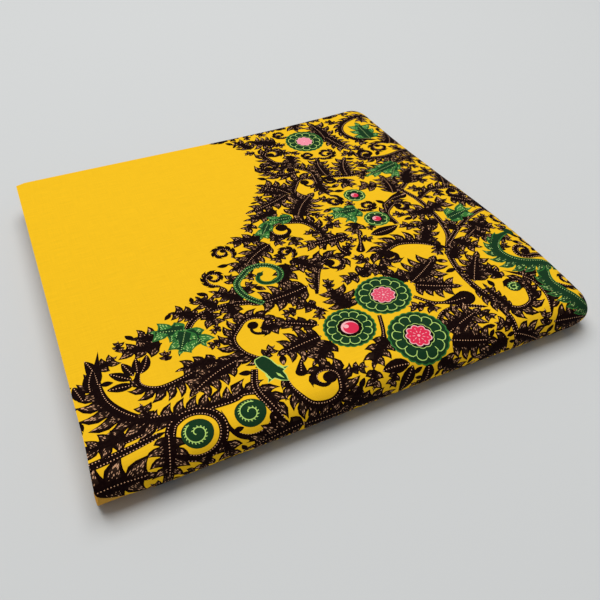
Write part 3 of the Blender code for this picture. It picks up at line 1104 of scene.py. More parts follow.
def grow_leaves(path, half, spacing, longest, shortest):
    """Tries leaves on both sides along a stem, each as long as its room lets it be."""
    distance, left = measured(path)
    side, at = 1, 6.0
    while at < distance[-1] - 1:
        to_left = [np.interp(at, distance, left[:, axis]) for axis in (0, 1)]
        way = math.atan2(-to_left[0], to_left[1])
        if not try_leaf(path, half(at), at, way, side, longest, shortest):
            try_leaf(path, half(at), at, way, -side, longest, shortest)
        side = -side
        at += spacing * chance.uniform(0.7, 1.2)


def fits(outline, base, spared):
    """True if an outline keeps its gap but for a few points. What is near its base is spared."""
    points = np.vstack([outline, (outline + np.roll(outline, -1, 0)) / 2])
    free, covered = look(points)
    free = free[np.hypot(*(points - base).T) > spared]
    keeps_gap = (free > LEAF_GAP).mean() > 1 - OVERLAP and (free > 0).mean() > 1 - OVERLAP / 2
    return bool((~covered).mean() < MOST_OFF_PRINT and keeps_gap)


def try_leaf(path, half_width, at, way, side, longest, shortest):
    """Draws the longest leaf that fits at a place on a stem. False if none does."""
    base = beside(path, [(at, side * half_width * 0.4)])[0]
    length = longest * chance.uniform(0.75, 1.0)
    while length > shortest:
        for angle in STEM_ANGLES:
            heading = way + math.radians(angle) * side
            if looks_clear(base, heading, length):
                bend = -side * chance.uniform(0.1, 0.9)
                parts = leaf_of(base, heading, length, chance.uniform(0.42, 0.50), bend)
                if fits(parts[0], base, half_width + 4.0):
                    draw_leaf(*parts)
                    return True
        length *= SHRINK
    return False


def grow_on_stems(spacing, longest, shortest):
    """Grows leaves along all stems that stand when it starts."""
    for path, half in list(stems):
        grow_leaves(path, half, spacing, longest, shortest)


# %% Volutes and leaves in the rooms
ROOM_SHARES = (3.0, 2.6, 2.2, 1.9, 1.6, 1.3)
ROOM_TURNS = (0, 0.35, -0.35, 0.7, -0.7)
LONGEST_IN_ROOM = 44.0
WIDEST_VOLUTE_ROOM = 18.0


def widest_rooms(least, below=MAP_BACK):
    """Gives each place with much room, the widest first, with its room and the nearest motif's point."""
    blocked = ~printed | (along_map > below)
    while True:
        free = np.where(blocked, 0, room)
        row, column = divmod(int(np.argmax(free)), room.shape[1])
        if free[row, column] < least:
            return
        centre = np.array([across_map[row, column], along_map[row, column]])
        yield centre, room[row, column], nearest[row, column].copy()
        blocked[max(0, row - 2) : row + 3, max(0, column - 2) : column + 3] = True


def fill_with_volutes(least):
    """Draws a volute in each room that is wide enough."""
    for centre, free, touch in widest_rooms(least):
        if free > WIDEST_VOLUTE_ROOM:
            touch = centre + (touch - centre) * WIDEST_VOLUTE_ROOM / np.hypot(*(touch - centre))
            free = WIDEST_VOLUTE_ROOM
        draw_volute(centre, touch, (free - 1.0) * 0.68, chance.choice((-1, 1)), chance.uniform(1.15, 1.4))


def fill_with_leaves(least, below=MAP_BACK):
    """Draws a leaf from the nearest motif into each room that is wide enough."""
    for centre, free, touch in widest_rooms(least, below):
        way = math.atan2(*(centre - touch)[::-1])
        base = touch - np.array([math.cos(way), math.sin(way)])
        try_leaf_from(base, way, free)


def try_leaf_from(base, way, free):
    """Draws the longest leaf that fits from a base into a room."""
    for share in ROOM_SHARES:
        length = min(LONGEST_IN_ROOM, free * share + 1)
        for turn in ROOM_TURNS:
            if looks_clear(base, way + turn, length):
                parts = leaf_of(base, way + turn, length, 0.46, -turn * 0.7)
                if fits(parts[0], base, 4.0):
                    draw_leaf(*parts)
                    return


# %% Growing it
FRONT_STRIP = -172
fill_with_volutes(12)
grow_on_stems(spacing=8, longest=40, shortest=20)
fill_with_volutes(9)
fill_with_leaves(8)
grow_on_stems(spacing=7, longest=26, shortest=13)
fill_with_leaves(4)
fill_with_leaves(2.6, below=FRONT_STRIP)
taken = (room[printed] <= 0).mean()
print(f"{len(motifs)} motifs in all, which cover {taken:.2f} of the printed part")

# %% [markdown]
# ## Cutting the printed cloth
#
# The flat cloth's outline, all motifs and a grid of plain points go into one Delaunay triangulation. It cuts
# the cloth along every motif's edge, so the print is as sharp as the outlines are, and each triangle lies in
# one motif or none. The grid is finer where the cloth bends, in the front fold and over the right edge.

# %% Outline and grid of the flat cloth, in millimetres
MILLIMETRE = 0.001
Steps = namedtuple("Steps", "flat round fold")
FINE = Steps(0.008, 0.0024, 0.0018)
COARSE = Steps(0.024, 0.006, 0.0045)
RIM_MARGIN = 0.0015
FOLD_MARGIN = 0.006


def stations(low, high, step, fine_from, fine_to, fine_step):
    """Places from low to high, with finer steps between fine_from and fine_to."""
    parts = []
    spans = ((low, fine_from, step), (fine_from, fine_to, fine_step), (fine_to, high, step))
    for start, end, width in spans:
        if end > start:
            parts.append(np.linspace(start, end, max(2, int((end - start) / width) + 2)))
    return np.unique(np.concatenate(parts).round(7))


def across_stations(left, steps=FINE):
    return stations(left, CLOTH_RIGHT, steps.flat, ROUND_START, CLOTH_RIGHT, steps.round)


def along_stations(low, high, steps=FINE):
    return stations(low, high, steps.flat, FOLD_FOOT - FOLD_MARGIN, FOLD_AXIS_Y + FOLD_MARGIN, steps.fold)


def cloth_outline(left_at):
    """The flat cloth's edge, once round: back edge, right edge, end edge, left edge."""
    start_left = float(left_at(np.array(HALF_DEPTH)))
    end_left = float(left_at(np.array(CLOTH_END)))
    across = across_stations(start_left)
    back = np.stack([across, back_edge(across, start_left)], 1)
    end_across = across_stations(end_left)
    end = np.stack([end_across, flat_end(end_across, end_left)], 1)[::-1]
    right_along = along_stations(end[0, 1], back[-1, 1])[1:-1][::-1]
    right = np.stack([np.full(len(right_along), CLOTH_RIGHT), right_along], 1)
    left_along = along_stations(end[-1, 1], back[0, 1])[1:-1]
    left = np.stack([left_at(left_along), left_along], 1)
    return np.vstack([back, right, end, left])[::-1]


def cloth_grid(left_at):
    """Points inside the flat cloth."""
    across, along = np.meshgrid(across_stations(LEFT_EDGE), along_stations(CLOTH_END, HALF_DEPTH))
    across, along = across.ravel(), along.ravel()
    left = left_at(along)
    kept = (across > left + RIM_MARGIN) & (across < CLOTH_RIGHT - RIM_MARGIN)
    kept &= along < back_edge(across, LEFT_EDGE) - RIM_MARGIN
    kept &= along > flat_end(across, LEFT_EDGE) + RIM_MARGIN
    return np.stack([across[kept], along[kept]], 1)


# %% [markdown]
# Where motifs overlap, the later one is on top. Flowers and green pieces are printed over the dark scrolls.


# %% The cut
CUT_TOLERANCE = 0.0001


def cut_cloth(outline, grid, shapes):
    """Cuts flat cloth along shapes. Gives its points, its triangles, and the topmost shape of each or -1."""
    points, edges = [], []
    for shape in [outline, *shapes]:
        first = len(points)
        points += [Vector(point) for point in shape]
        edges += [(number, number + 1) for number in range(first, len(points) - 1)]
        edges.append((len(points) - 1, first))
    points += [Vector(point) for point in grid]
    cut = geometry.delaunay_2d_cdt(points, edges, [], 0, CUT_TOLERANCE, False)
    points, triangles = np.array(cut[0]), np.array(cut[2])
    middle = points[triangles].mean(1)
    kept = inside(outline, middle[:, 0], middle[:, 1])
    triangles, middle = triangles[kept], middle[kept]
    top = np.full(len(triangles), -1)
    for number, shape in enumerate(shapes):
        near = ((middle > shape.min(0)) & (middle < shape.max(0))).all(1).nonzero()[0]
        top[near[inside(shape, *middle[near].T)]] = number
    used, triangles = np.unique(triangles, return_inverse=True)
    return points[used], triangles.reshape(-1, 3), top


def rim_loop(triangles):
    """The points round a cut cloth, in order."""
    edges = np.concatenate([triangles[:, [0, 1]], triangles[:, [1, 2]], triangles[:, [2, 0]]])
    _, index, uses = np.unique(np.sort(edges, 1), axis=0, return_index=True, return_counts=True)
    following = {int(a): int(b) for a, b in edges[index[uses == 1]]}
    loop = [next(iter(following))]
    while following[loop[-1]] != loop[0]:
        loop.append(following[loop[-1]])
    return loop


motifs.sort(key=lambda motif: motif.on_top)
flat_outline = cloth_outline(outer_left) / MILLIMETRE
flat_grid = cloth_grid(outer_left) / MILLIMETRE
shapes = [motif.outline for motif in motifs]
face_points, face_triangles, face_motif = cut_cloth(flat_outline, flat_grid, shapes)
rim = rim_loop(face_triangles)
back_points, back_triangles, _ = cut_cloth(face_points[rim], flat_grid, [])
print(f"face {len(face_triangles)} triangles, back {len(back_triangles)}, rim {len(rim)} points")


# %% [markdown]
# The material has to know where on its motif each point lies. Two numbers say so: how far it is along the
# motif's path, and how far to the left of it.


# %% Places on the motifs
def places_on(path, points):
    """Distance along a path and to its left, for points near it."""
    distance, _ = measured(path)
    start, step = path[:-1], np.diff(path, axis=0)
    length = np.hypot(*step.T)
    offset = points[:, None, :] - start[None]
    share = np.clip((offset * step).sum(-1) / length**2, 0, 1)
    away = offset - share[..., None] * step
    best = (away**2).sum(-1).argmin(1)
    row = np.arange(len(points))
    ahead = distance[best] + share[row, best] * length[best]
    side = step[best, 0] * offset[row, best, 1] - step[best, 1] * offset[row, best, 0]
    return np.stack([ahead, side / length[best]], 1)


corner_points = face_points[face_triangles]
corner_ink = np.zeros(face_triangles.shape + (4,))
corner_place = np.zeros(face_triangles.shape + (2,))
corner_marks = np.zeros(face_triangles.shape + (3,))
corner_ink[:] = (*INKS["ground"], 1)
by_motif = np.argsort(face_motif, kind="stable")
seen_motifs, starts = np.unique(face_motif[by_motif], return_index=True)
for seen, inked in zip(seen_motifs, np.split(by_motif, starts[1:])):
    if seen >= 0:
        motif = motifs[seen]
        corner_ink[inked] = (*INKS[motif.ink], 1)
        if motif.path is not None:
            placed = places_on(motif.path, corner_points[inked].reshape(-1, 2))
            corner_place[inked] = placed.reshape(-1, 3, 2)
            corner_marks[inked] = (motif.lane, motif.dots, motif.fleck_length)

# %% [markdown]
# ## Materials
#
# The three cottons share one weave. Threads about 0.4 mm apart run both ways, and slubs, the thicker
# stretches of thread, show as faint streaks. A picture could hold the threads, but two waves and a noise
# stay sharp from any distance. They are a node group, and so are the resist's dots and its flecks.

# %% Node helpers
Socket = bpy.types.NodeSocket
FLOAT, VECTOR = "NodeSocketFloat", "NodeSocketVector"


def feed(tree, socket, value):
    """Gives an input a link or a value."""
    if isinstance(value, Socket):
        tree.links.new(value, socket)
    else:
        socket.default_value = value


def calc(tree, operation, *values):
    """A maths node on sockets and numbers."""
    node = tree.nodes.new("ShaderNodeMath")
    node.operation = operation
    for socket, value in zip(node.inputs, values):
        feed(tree, socket, value)
    return node.outputs[0]


def fed(tree, kind, settings=(), **inputs):
    """A node with settings, and with sockets or values on the inputs that are named."""
    node = tree.nodes.new(kind)
    for name, value in dict(settings).items():
        setattr(node, name, value)
    for name, value in inputs.items():
        feed(tree, node.inputs[name.replace("_", " ")], value)
    return node.outputs


def mixed(tree, share, one, other, blend="MIX"):
    """A colour mix."""
    node = tree.nodes.new("ShaderNodeMix")
    node.data_type = "RGBA"
    node.blend_type = blend
    for socket, value in ((node.inputs[0], share), (node.inputs[6], one), (node.inputs[7], other)):
        feed(tree, socket, value)
    return node.outputs[2]


def stretched(tree, place, factors):
    """Coordinates, each multiplied by its factor."""
    node = tree.nodes.new("ShaderNodeVectorMath")
    node.operation = "MULTIPLY"
    feed(tree, node.inputs[0], place)
    feed(tree, node.inputs[1], factors)
    return node.outputs[0]


# %% Node group helpers
def new_group(name, inputs, output_names):
    """An empty node group. Its inputs are named places or numbers with first values, its outputs numbers."""
    group = bpy.data.node_groups.new(name, "ShaderNodeTree")
    for label, value in inputs.items():
        kind = VECTOR if isinstance(value, tuple) else FLOAT
        group.interface.new_socket(label, in_out="INPUT", socket_type=kind).default_value = value
    for label in output_names:
        group.interface.new_socket(label, in_out="OUTPUT", socket_type=FLOAT)
    return group, group.nodes.new("NodeGroupInput").outputs, group.nodes.new("NodeGroupOutput").inputs


def use_group(tree, group, **inputs):
    """The outputs of a node group that is fed with sockets or values."""
    return fed(tree, "ShaderNodeGroup", {"node_tree": group}, **inputs)


# %% Weave
THREAD_PITCH = 0.4
SLUB_STRENGTH = 1.0
THREAD_HEIGHT = 0.5
WEFT_SLUBS, WARP_SLUBS = (0.06, 1.3, 1.0), (1.3, 0.05, 1.0)
WARP_STRENGTH = 0.6
MEAN_STREAK = 0.8
SLUB_TINT = 0.22


def weave_group():
    """Threads both ways as a height, and slubs as a height and a tint."""
    inputs = {"Cloth": (0, 0, 0), "Thread pitch": THREAD_PITCH, "Slub strength": SLUB_STRENGTH}
    tree, given, made = new_group("cotton weave", inputs, ("Height", "Tint"))
    turn = calc(tree, "DIVIDE", 2 * math.pi, given["Thread pitch"])

    def threads(place):
        return calc(tree, "SINE", calc(tree, "MULTIPLY", place, turn))

    def slubs(factors):
        place = stretched(tree, given["Cloth"], factors)
        return fed(tree, "ShaderNodeTexNoise", Vector=place, Scale=1.0, Detail=3.0, Roughness=0.6)[0]

    split = fed(tree, "ShaderNodeSeparateXYZ", Vector=given["Cloth"])
    crossing = calc(tree, "MULTIPLY", threads(split[0]), threads(split[1]))
    streaks = calc(tree, "ADD", slubs(WEFT_SLUBS), calc(tree, "MULTIPLY", slubs(WARP_SLUBS), WARP_STRENGTH))
    slub = calc(tree, "MULTIPLY", calc(tree, "SUBTRACT", streaks, MEAN_STREAK), given["Slub strength"])
    feed(tree, made["Height"], calc(tree, "ADD", calc(tree, "MULTIPLY", crossing, THREAD_HEIGHT), slub))
    feed(tree, made["Tint"], calc(tree, "ADD", 1.0, calc(tree, "MULTIPLY", slub, SLUB_TINT)))
    return tree


weave = weave_group()
print("the weave group has", len(weave.nodes), "nodes")

# %% [markdown]
# A resist dot is a point where a drop of wax kept the dye off. Dots lie in rows along bands and midribs,
# 2.1 mm apart. Flecks run out through the lobes, small near the dark core and larger towards the tip, and
# the dye is a little thinner between them there.

# %% Resist dots and flecks
DOT_PITCH = 2.1
DOT_RADIUS = 0.38
FLECK_LONG, FLECK_WIDE = 3.4, 1.15
SMALLEST_FLECK, FLECK_GROWTH = 0.12, 0.33
THIN_BETWEEN_FLECKS = 0.08


def dots_group():
    """1 inside the dots of a motif's rows and 0 outside them. Two rows lie on both sides of the path."""
    inputs = {"Ahead": 0.0, "Left": 0.0, "Lane": 0.0, "Rows": 0.0, "Pitch": DOT_PITCH}
    tree, given, made = new_group("resist dots", inputs, ("Mask",))
    two_rows = calc(tree, "GREATER_THAN", given["Rows"], 1.5)
    mirrored = calc(tree, "MULTIPLY", calc(tree, "ABSOLUTE", given["Left"]), two_rows)
    one_sided = calc(tree, "MULTIPLY", given["Left"], calc(tree, "SUBTRACT", 1.0, two_rows))
    off_lane = calc(tree, "SUBTRACT", calc(tree, "ADD", mirrored, one_sided), given["Lane"])
    steps = calc(tree, "DIVIDE", given["Ahead"], given["Pitch"])
    beat = calc(tree, "SUBTRACT", calc(tree, "FRACT", steps), 0.5)
    ahead = calc(tree, "MULTIPLY", beat, given["Pitch"])
    squared = calc(tree, "ADD", calc(tree, "POWER", off_lane, 2.0), calc(tree, "POWER", ahead, 2.0))
    in_dot = calc(tree, "LESS_THAN", calc(tree, "SQRT", squared), DOT_RADIUS)
    feed(tree, made["Mask"], calc(tree, "MULTIPLY", in_dot, calc(tree, "MINIMUM", given["Rows"], 1.0)))
    return tree


def flecks_group():
    """How much of the dye the flecks of a patch keep off. Outside the patches, the length is 0."""
    inputs = {"Ahead": 0.0, "Left": 0.0, "Shift": 0.0, "Length": 0.0}
    tree, given, made = new_group("resist flecks", inputs, ("Mask",))
    along = calc(tree, "DIVIDE", calc(tree, "ADD", given["Ahead"], given["Shift"]), FLECK_LONG)
    across = calc(tree, "DIVIDE", calc(tree, "ADD", given["Left"], given["Shift"]), FLECK_WIDE)
    place = fed(tree, "ShaderNodeCombineXYZ", X=along, Y=across, Z=0.0)[0]
    cells = fed(tree, "ShaderNodeTexVoronoi", {"voronoi_dimensions": "2D"}, Vector=place, Scale=1.0)[0]
    share = calc(tree, "DIVIDE", given["Ahead"], calc(tree, "MAXIMUM", given["Length"], 1.0))
    grown = calc(tree, "MINIMUM", calc(tree, "MAXIMUM", share, 0.0), 1.0)
    size = calc(tree, "ADD", SMALLEST_FLECK, calc(tree, "MULTIPLY", grown, FLECK_GROWTH))
    thin = calc(tree, "MULTIPLY", grown, THIN_BETWEEN_FLECKS)
    kept_off = calc(tree, "MAXIMUM", calc(tree, "LESS_THAN", cells, size), thin)
    in_patch = calc(tree, "GREATER_THAN", given["Length"], 0.5)
    feed(tree, made["Mask"], calc(tree, "MULTIPLY", kept_off, in_patch))
    return tree


dots = dots_group()
flecks = flecks_group()
print("the dots take", len(dots.nodes), "nodes and the flecks", len(flecks.nodes))

# %% [markdown]
# The printed cotton takes its ink from the cut. Resisted places are cream in the dark ink and lime in the
# green, and the dark dye is never quite even: it thins to brown in patches.

# %% A cotton material
COTTON_ROUGHNESS = 0.78
COTTON_SHEEN = 0.03
BUMP_STRENGTH, BUMP_DISTANCE = 0.25, 0.00008


def cotton(name, color_of, cloth_of):
    """A cotton material. color_of and cloth_of give its colour and its cloth coordinates in millimetres."""
    material = bpy.data.materials.new(name)
    material.use_nodes = True
    tree = material.node_tree
    shader = tree.nodes["Principled BSDF"].inputs
    feed(tree, shader["Roughness"], COTTON_ROUGHNESS)
    feed(tree, shader["Specular IOR Level"], COTTON_SHEEN)
    woven = use_group(tree, weave, Cloth=cloth_of(tree))
    tint = fed(tree, "ShaderNodeCombineColor", Red=woven["Tint"], Green=woven["Tint"], Blue=woven["Tint"])[0]
    feed(tree, shader["Base Color"], mixed(tree, 1.0, color_of(tree), tint, "MULTIPLY"))
    height = woven["Height"]
    bump = fed(tree, "ShaderNodeBump", Strength=BUMP_STRENGTH, Distance=BUMP_DISTANCE, Height=height)
    feed(tree, shader["Normal"], bump[0])
    return material


def uv_place(tree, name):
    """Places from one of the mesh's maps."""
    return fed(tree, "ShaderNodeUVMap", {"uv_map": name})[0]


def cloth_place(tree):
    """Places on the flat cloth, in millimetres."""
    return uv_place(tree, "cloth")


# %% Printed cotton
CREAM = (0.82, 0.45, 0.25, 1.0)
LIME_DOT = (0.56, 0.82, 0.26, 1.0)
BROWN = (0.60, 0.28, 0.16, 1.0)
FLECK_STRENGTH = 0.85
MOST_THINNED = 0.012
GREEN_OVER_RED = 1.6
DARK_BELOW = 0.3


def printed_color(tree):
    """The ink of each motif, cream or lime where the resist was, and the dark ink thinned in patches."""
    ink = fed(tree, "ShaderNodeAttribute", {"attribute_name": "ink"})["Color"]
    marks = fed(tree, "ShaderNodeAttribute", {"attribute_name": "marks"})["Vector"]
    lane, rows, length = fed(tree, "ShaderNodeSeparateXYZ", Vector=marks)
    ahead, left, _ = fed(tree, "ShaderNodeSeparateXYZ", Vector=uv_place(tree, "motif"))
    dot = use_group(tree, dots, Ahead=ahead, Left=left, Lane=lane, Rows=rows)["Mask"]
    fleck = use_group(tree, flecks, Ahead=ahead, Left=left, Shift=lane, Length=length)["Mask"]
    resisted = calc(tree, "MAXIMUM", dot, calc(tree, "MULTIPLY", fleck, FLECK_STRENGTH))
    red, green, _ = fed(tree, "ShaderNodeSeparateColor", Color=ink)
    on_green = calc(tree, "GREATER_THAN", green, calc(tree, "MULTIPLY", red, GREEN_OVER_RED))
    pale = mixed(tree, on_green, CREAM, LIME_DOT)
    cloth = cloth_place(tree)
    patchy = fed(tree, "ShaderNodeTexNoise", Vector=cloth, Scale=0.5, Detail=3.0, Roughness=0.65)[0]
    patches = fed(tree, "ShaderNodeMapRange", Value=patchy, From_Min=0.45, From_Max=0.75)[0]
    is_dark = calc(tree, "LESS_THAN", red, DARK_BELOW)
    thinned = calc(tree, "MULTIPLY", calc(tree, "MULTIPLY", patches, MOST_THINNED), is_dark)
    return mixed(tree, resisted, mixed(tree, thinned, ink, BROWN), pale)


printed_cotton = cotton("printed_cotton", printed_color, cloth_place)


# %% [markdown]
# The second sheet is plain yellow, but painted darker and browner than the top's ground: painted shade,
# as it only shows in shade, at its edge and past the outer sheet's rounded front left corner. The inner
# sheets show their cut and folded edges: yellow, with dark stretches where the print runs off the edge.

# %% Plain cotton and edges
UNPRINTED_IN_PAINTED_SHADE = (0.60, 0.31, 0.045, 1)
# The second sheet's yellow, darkened and browned: painted shade.
EDGE_YELLOW = (0.76, 0.42, 0.03, 1)
EDGE_DARK = (0.13, 0.055, 0.025, 1)
EDGE_STRETCHES = (0.06, 0.06, 1.1)


def object_place(tree):
    """Object coordinates in millimetres."""
    coordinates = tree.nodes.new("ShaderNodeTexCoord").outputs["Object"]
    return stretched(tree, coordinates, (1000.0, 1000.0, 1000.0))


# The second sheet's colour, which holds painted shade.
def painted_shade_unprinted_color(_):
    return UNPRINTED_IN_PAINTED_SHADE


def edge_color(tree):
    """Yellow, with long dark stretches in each layer's edge."""
    place = stretched(tree, object_place(tree), EDGE_STRETCHES)
    print_share = fed(tree, "ShaderNodeTexNoise", Vector=place, Scale=1.0, Detail=2.0)[0]
    share = fed(tree, "ShaderNodeMapRange", Value=print_share, From_Min=0.57, From_Max=0.62)[0]
    return mixed(tree, share, EDGE_YELLOW, EDGE_DARK)


# The plain cotton's colour is plain yellow with painted shade.
plain_cotton = cotton("plain_cotton", painted_shade_unprinted_color, object_place)
cotton_edges = cotton("cotton_edges", edge_color, object_place)
print("materials:", *(material.name for material in (printed_cotton, plain_cotton, cotton_edges)))

# %% [markdown]
# ## The sheets
#
# The printed face, its plain back and the rim between them make one closed thin shell. The back lies against
# the next sheet and is never seen, so it has no print and fewer faces. The shell's flat outline, with face
# and back side by side, is also its map for textures.

# %% The outer sheet
def sheet_mesh(name, points, faces, material):
    """A smooth mesh object of points and faces."""
    mesh = bpy.data.meshes.new(name)
    mesh.from_pydata(points.tolist(), [], faces)
    mesh.materials.append(material)
    mesh.shade_smooth()
    piece = bpy.data.objects.new(name, mesh)
    bpy.context.scene.collection.objects.link(piece)
    return piece


def folded(points, share=0.0, sunk=0.0):
    """Folds flat points in millimetres onto the stack, sunk below the surface by a distance in metres."""
    across, along = points.T * MILLIMETRE
    return on_stack(across, along, share) - outwards_at(across, along, share) * sunk


def outer_faces():
    """The face, the back turned over, and the walls of the rim between them."""
    under = len(face_points)
    back_rim = rim_loop(back_triangles)
    first = int(np.hypot(*(back_points[back_rim] - face_points[rim[0]]).T).argmin())
    back_rim = back_rim[first:] + back_rim[:first]
    walls = []
    for index, corner in enumerate(rim):
        following = (index + 1) % len(rim)
        walls.append((rim[following], corner, back_rim[index] + under, back_rim[following] + under))
    return face_triangles.tolist() + (back_triangles[:, ::-1] + under).tolist() + walls


outer_points = np.vstack([folded(face_points), folded(back_points, sunk=SHEET_THICKNESS)])
outer_sheet = sheet_mesh("outer_sheet", outer_points, outer_faces(), printed_cotton)
print("the outer sheet has", len(outer_sheet.data.polygons), "faces")

# %% Inks and maps of the outer sheet
MAP_SPAN = FLAT_LENGTH * 1.05 / MILLIMETRE
MAP_MARGIN = 0.005
MAP_FOOT = 0.03
RIM_LOW, RIM_HIGH = 0.01, 0.02


def flat_map(points, column):
    """Places of flat cloth points on a square map; face and back are its two columns."""
    low = np.array([LEFT_EDGE, CLOTH_END]) / MILLIMETRE
    return (points - low) / MAP_SPAN + np.array([MAP_MARGIN + 0.5 * column, MAP_FOOT])


plain_corners = back_triangles.size + 4 * len(rim)
ink = outer_sheet.data.color_attributes.new("ink", "FLOAT_COLOR", "CORNER")
plain_ink = np.tile((*INKS["ground"], 1), (plain_corners, 1))
ink.data.foreach_set("color", np.vstack([corner_ink.reshape(-1, 4), plain_ink]).ravel())
marks = outer_sheet.data.attributes.new("marks", "FLOAT_VECTOR", "CORNER")
plain_marks = np.zeros((plain_corners, 3))
marks.data.foreach_set("vector", np.vstack([corner_marks.reshape(-1, 3), plain_marks]).ravel())

along_rim = np.arange(len(rim) + 1) / len(rim) * (1 - 2 * MAP_MARGIN) + MAP_MARGIN
rim_map = [
    ((after, RIM_HIGH), (before, RIM_HIGH), (before, RIM_LOW), (after, RIM_LOW))
    for before, after in zip(along_rim[:-1], along_rim[1:])
]
rim_points = face_points[rim]
next_points = np.roll(rim_points, -1, 0)
rim_cloth = np.stack([next_points, rim_points, rim_points, next_points], 1)
back_corners = back_points[back_triangles[:, ::-1]].reshape(-1, 2)
bake_map = np.vstack([
    flat_map(corner_points.reshape(-1, 2), 0), flat_map(back_corners, 1), np.array(rim_map).reshape(-1, 2)
])
cloth_map = np.vstack([corner_points.reshape(-1, 2), back_corners, rim_cloth.reshape(-1, 2)])
motif_map = np.vstack([corner_place.reshape(-1, 2), np.zeros((plain_corners, 2))])
for name, values in (("OFBake", bake_map), ("cloth", cloth_map), ("motif", motif_map)):
    outer_sheet.data.uv_layers.new(name=name).data.foreach_set("uv", values.ravel())
print("maps and colours:", *(layer.name for layer in outer_sheet.data.uv_layers), ink.name, marks.name)

# %% [markdown]
# The other sheets are plain grids of the same form, deeper in the stack. Each has its own edge, set back
# a little unevenly, as a folder leaves them.

# %% Sheets inside
Setback = namedtuple("Setback", "left right back end")
SIDE_WANDER, END_WANDER = 0.0003, 0.0004


def uneven(along, seed, size):
    """A slow, small wandering of an edge."""
    return size * (np.sin(along * 23 + seed * 2.1) + 0.6 * np.sin(along * 61 + seed * 5.3))


def inner_grid(left_at, setback, seed, steps):
    """A grid of flat places, with uneven edges."""
    columns = across_stations(LEFT_EDGE, steps)
    columns = (columns - columns[0]) / (columns[-1] - columns[0])
    rows = along_stations(CLOTH_END, HALF_DEPTH, steps)[::-1]
    rows = (rows - rows[-1]) / (rows[0] - rows[-1])
    share_across, share_along = np.meshgrid(columns, rows)
    guess = CLOTH_END + share_along * FLAT_LENGTH
    left = left_at(guess) + setback.left + uneven(guess, seed, SIDE_WANDER)
    right = CLOTH_RIGHT - setback.right + uneven(guess, seed + 4, SIDE_WANDER)
    across = left + (right - left) * share_across
    back = back_edge(across, left) - setback.back + uneven(across, seed + 1, END_WANDER)
    end = flat_end(across, left) + setback.end + uneven(across, seed + 2, END_WANDER)
    return across, end + (back - end) * share_along


def grid_sheet(left_at, setback, seed, steps, share, sunk, thickness):
    """Points and faces of a closed thin shell on a grid."""
    across, along = inner_grid(left_at, setback, seed, steps)
    rows, columns = across.shape
    flat = np.stack([across.ravel(), along.ravel()], 1) / MILLIMETRE
    points = np.vstack([folded(flat, share, sunk), folded(flat, share, sunk + thickness)])
    number = np.arange(rows * columns).reshape(rows, columns)
    quads = np.stack([number[1:, :-1], number[1:, 1:], number[:-1, 1:], number[:-1, :-1]], -1).reshape(-1, 4)
    edge = np.concatenate([number[0, :-1], number[:-1, -1], number[-1, :0:-1], number[:0:-1, 0]])
    ahead = np.roll(edge, -1)
    under = rows * columns
    walls = np.stack([edge, ahead, ahead + under, edge + under], -1)
    return points, np.vstack([quads, quads[:, ::-1] + under, walls])


SECOND_SETBACK = Setback(0, 0.0006, 0.0012, 0.0012)
second_shell = grid_sheet(second_left, SECOND_SETBACK, 0, FINE, 0, SHEET_STEP, SHEET_THICKNESS)
second_sheet = sheet_mesh("second_sheet", second_shell[0], second_shell[1].tolist(), plain_cotton)
print("the second sheet has", len(second_sheet.data.polygons), "faces")

# %% Inner sheets
INNER_SHEETS = 19
INNER_START = 2 * SHEET_STEP / FOLD_RADIUS
INNER_END = 0.985
INNER_THICKNESS = 0.00045
LEAST_SETBACK = Setback(0.0004, 0.0008, 0.0010, 0.0010)
SETBACK_SPAN = 0.0022


def straight_left(along):
    """The inner sheets' left edge, before it is set back."""
    return LEFT_EDGE + 0 * along


def inner_stack():
    """Points and faces of all inner sheets, each with its own setbacks, one deeper than the other."""
    luck = random.Random(3)
    all_points, all_faces, base = [], [], 0
    for number in range(INNER_SHEETS):
        share = INNER_START + (INNER_END - INNER_START) * number / (INNER_SHEETS - 1)
        setback = Setback(*(luck.uniform(least, least + SETBACK_SPAN) for least in LEAST_SETBACK))
        points, faces = grid_sheet(straight_left, setback, number, COARSE, share, 0, INNER_THICKNESS)
        all_points.append(points)
        all_faces.append(faces + base)
        base += len(points)
    return np.vstack(all_points), np.vstack(all_faces).tolist()


inner_sheets = sheet_mesh("inner_sheets", *inner_stack(), cotton_edges)
print("the inner sheets have", len(inner_sheets.data.polygons), "faces")

# %% [markdown]
# Each piece rides on the stack and takes the place of its solids, which are hidden.

# %% Attaching the pieces
SHARP_ANGLE = math.radians(50)
PIECES = (
    (outer_sheet, "outer_leaf", "printed_cotton", 1),
    (second_sheet, "second_leaf", "plain_cotton", 1),
    (inner_sheets, "inner_layers", "cotton_edges", INNER_SHEETS),
)
for piece, node, slot, layers in PIECES:
    piece.data.set_sharp_from_angle(angle=SHARP_ANGLE)
    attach(piece, "root")
    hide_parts(node)

# %% [markdown]
# ## Floor, light and camera
#
# The stack lies on a plain pale floor, under a wide soft light from above and a little from the front, so
# that the front fold rounds off into shade.

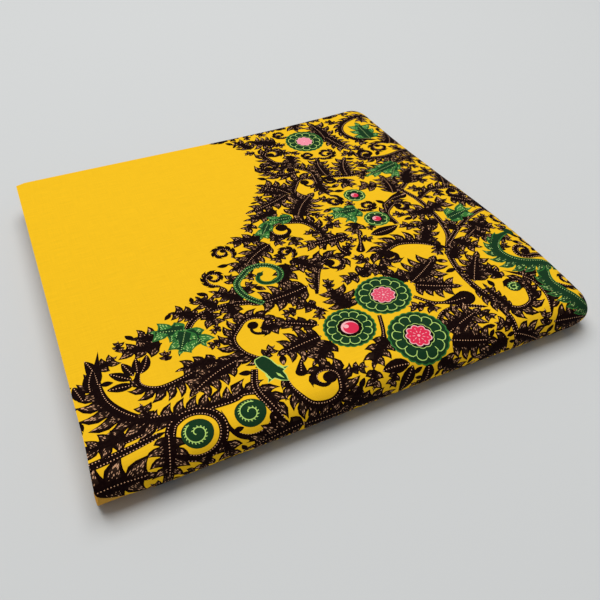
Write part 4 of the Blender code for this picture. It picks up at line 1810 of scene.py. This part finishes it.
# %% Floor
bpy.ops.object.select_all(action="DESELECT")
bpy.ops.mesh.primitive_plane_add(size=8, location=(0, 0, -0.0001))
floor = bpy.context.active_object
floor.name = "floor"
paper = bpy.data.materials.new("pale_paper")
paper.use_nodes = True
paper_shader = paper.node_tree.nodes["Principled BSDF"].inputs
paper_shader["Base Color"].default_value = (0.64, 0.65, 0.645, 1)
paper_shader["Roughness"].default_value = 0.95
paper_shader["Specular IOR Level"].default_value = 0.1
floor.data.materials.append(paper)

# %% Light
world = bpy.data.worlds.new("studio")
bpy.context.scene.world = world
world.use_nodes = True
sky = world.node_tree.nodes["Background"].inputs
sky["Color"].default_value = (0.95, 0.97, 1.0, 1)
sky["Strength"].default_value = 0.25


def softbox(name, place, target, size, power):
    """A square soft light that faces its target."""
    light = bpy.data.lights.new(name, "AREA")
    light.shape = "SQUARE"
    light.size = size
    light.energy = power
    lamp = bpy.data.objects.new(name, light)
    bpy.context.scene.collection.objects.link(lamp)
    lamp.location = place
    lamp.rotation_euler = (Vector(target) - Vector(place)).to_track_quat("-Z", "Y").to_euler()


softbox("softbox", (0.1, 0.75, 2.96), (0, 0, 0), 2.6, 90)

# %% [markdown]
# The camera stands in front of the left corner, looking down by 43 degrees, with a lens a little longer than
# normal. Its values come from fitting the stack's corners to the photo.

# %% Camera
CAMERA_PLACE = (-0.1735, -0.4301, 0.3861)
CAMERA_DOWN = math.radians(42.92)
CAMERA_TURN = math.radians(24.46)
CAMERA_ROLL = math.radians(-0.39)
CAMERA_LENS = 39.92
camera = bpy.data.objects.new("camera", bpy.data.cameras.new("camera"))
bpy.context.scene.collection.objects.link(camera)
aim = Matrix.Rotation(-CAMERA_TURN, 4, "Z") @ Matrix.Rotation(math.pi / 2 - CAMERA_DOWN, 4, "X")
camera.matrix_world = Matrix.Translation(CAMERA_PLACE) @ aim @ Matrix.Rotation(CAMERA_ROLL, 4, "Z")
camera.data.lens = CAMERA_LENS
camera.data.sensor_width = 36
camera.data.clip_start = 0.01
bpy.context.scene.camera = camera
bpy.context.scene.view_settings.view_transform = "Standard"
print("the camera is", round(Vector(CAMERA_PLACE).length, 3), "m from the stack's middle")
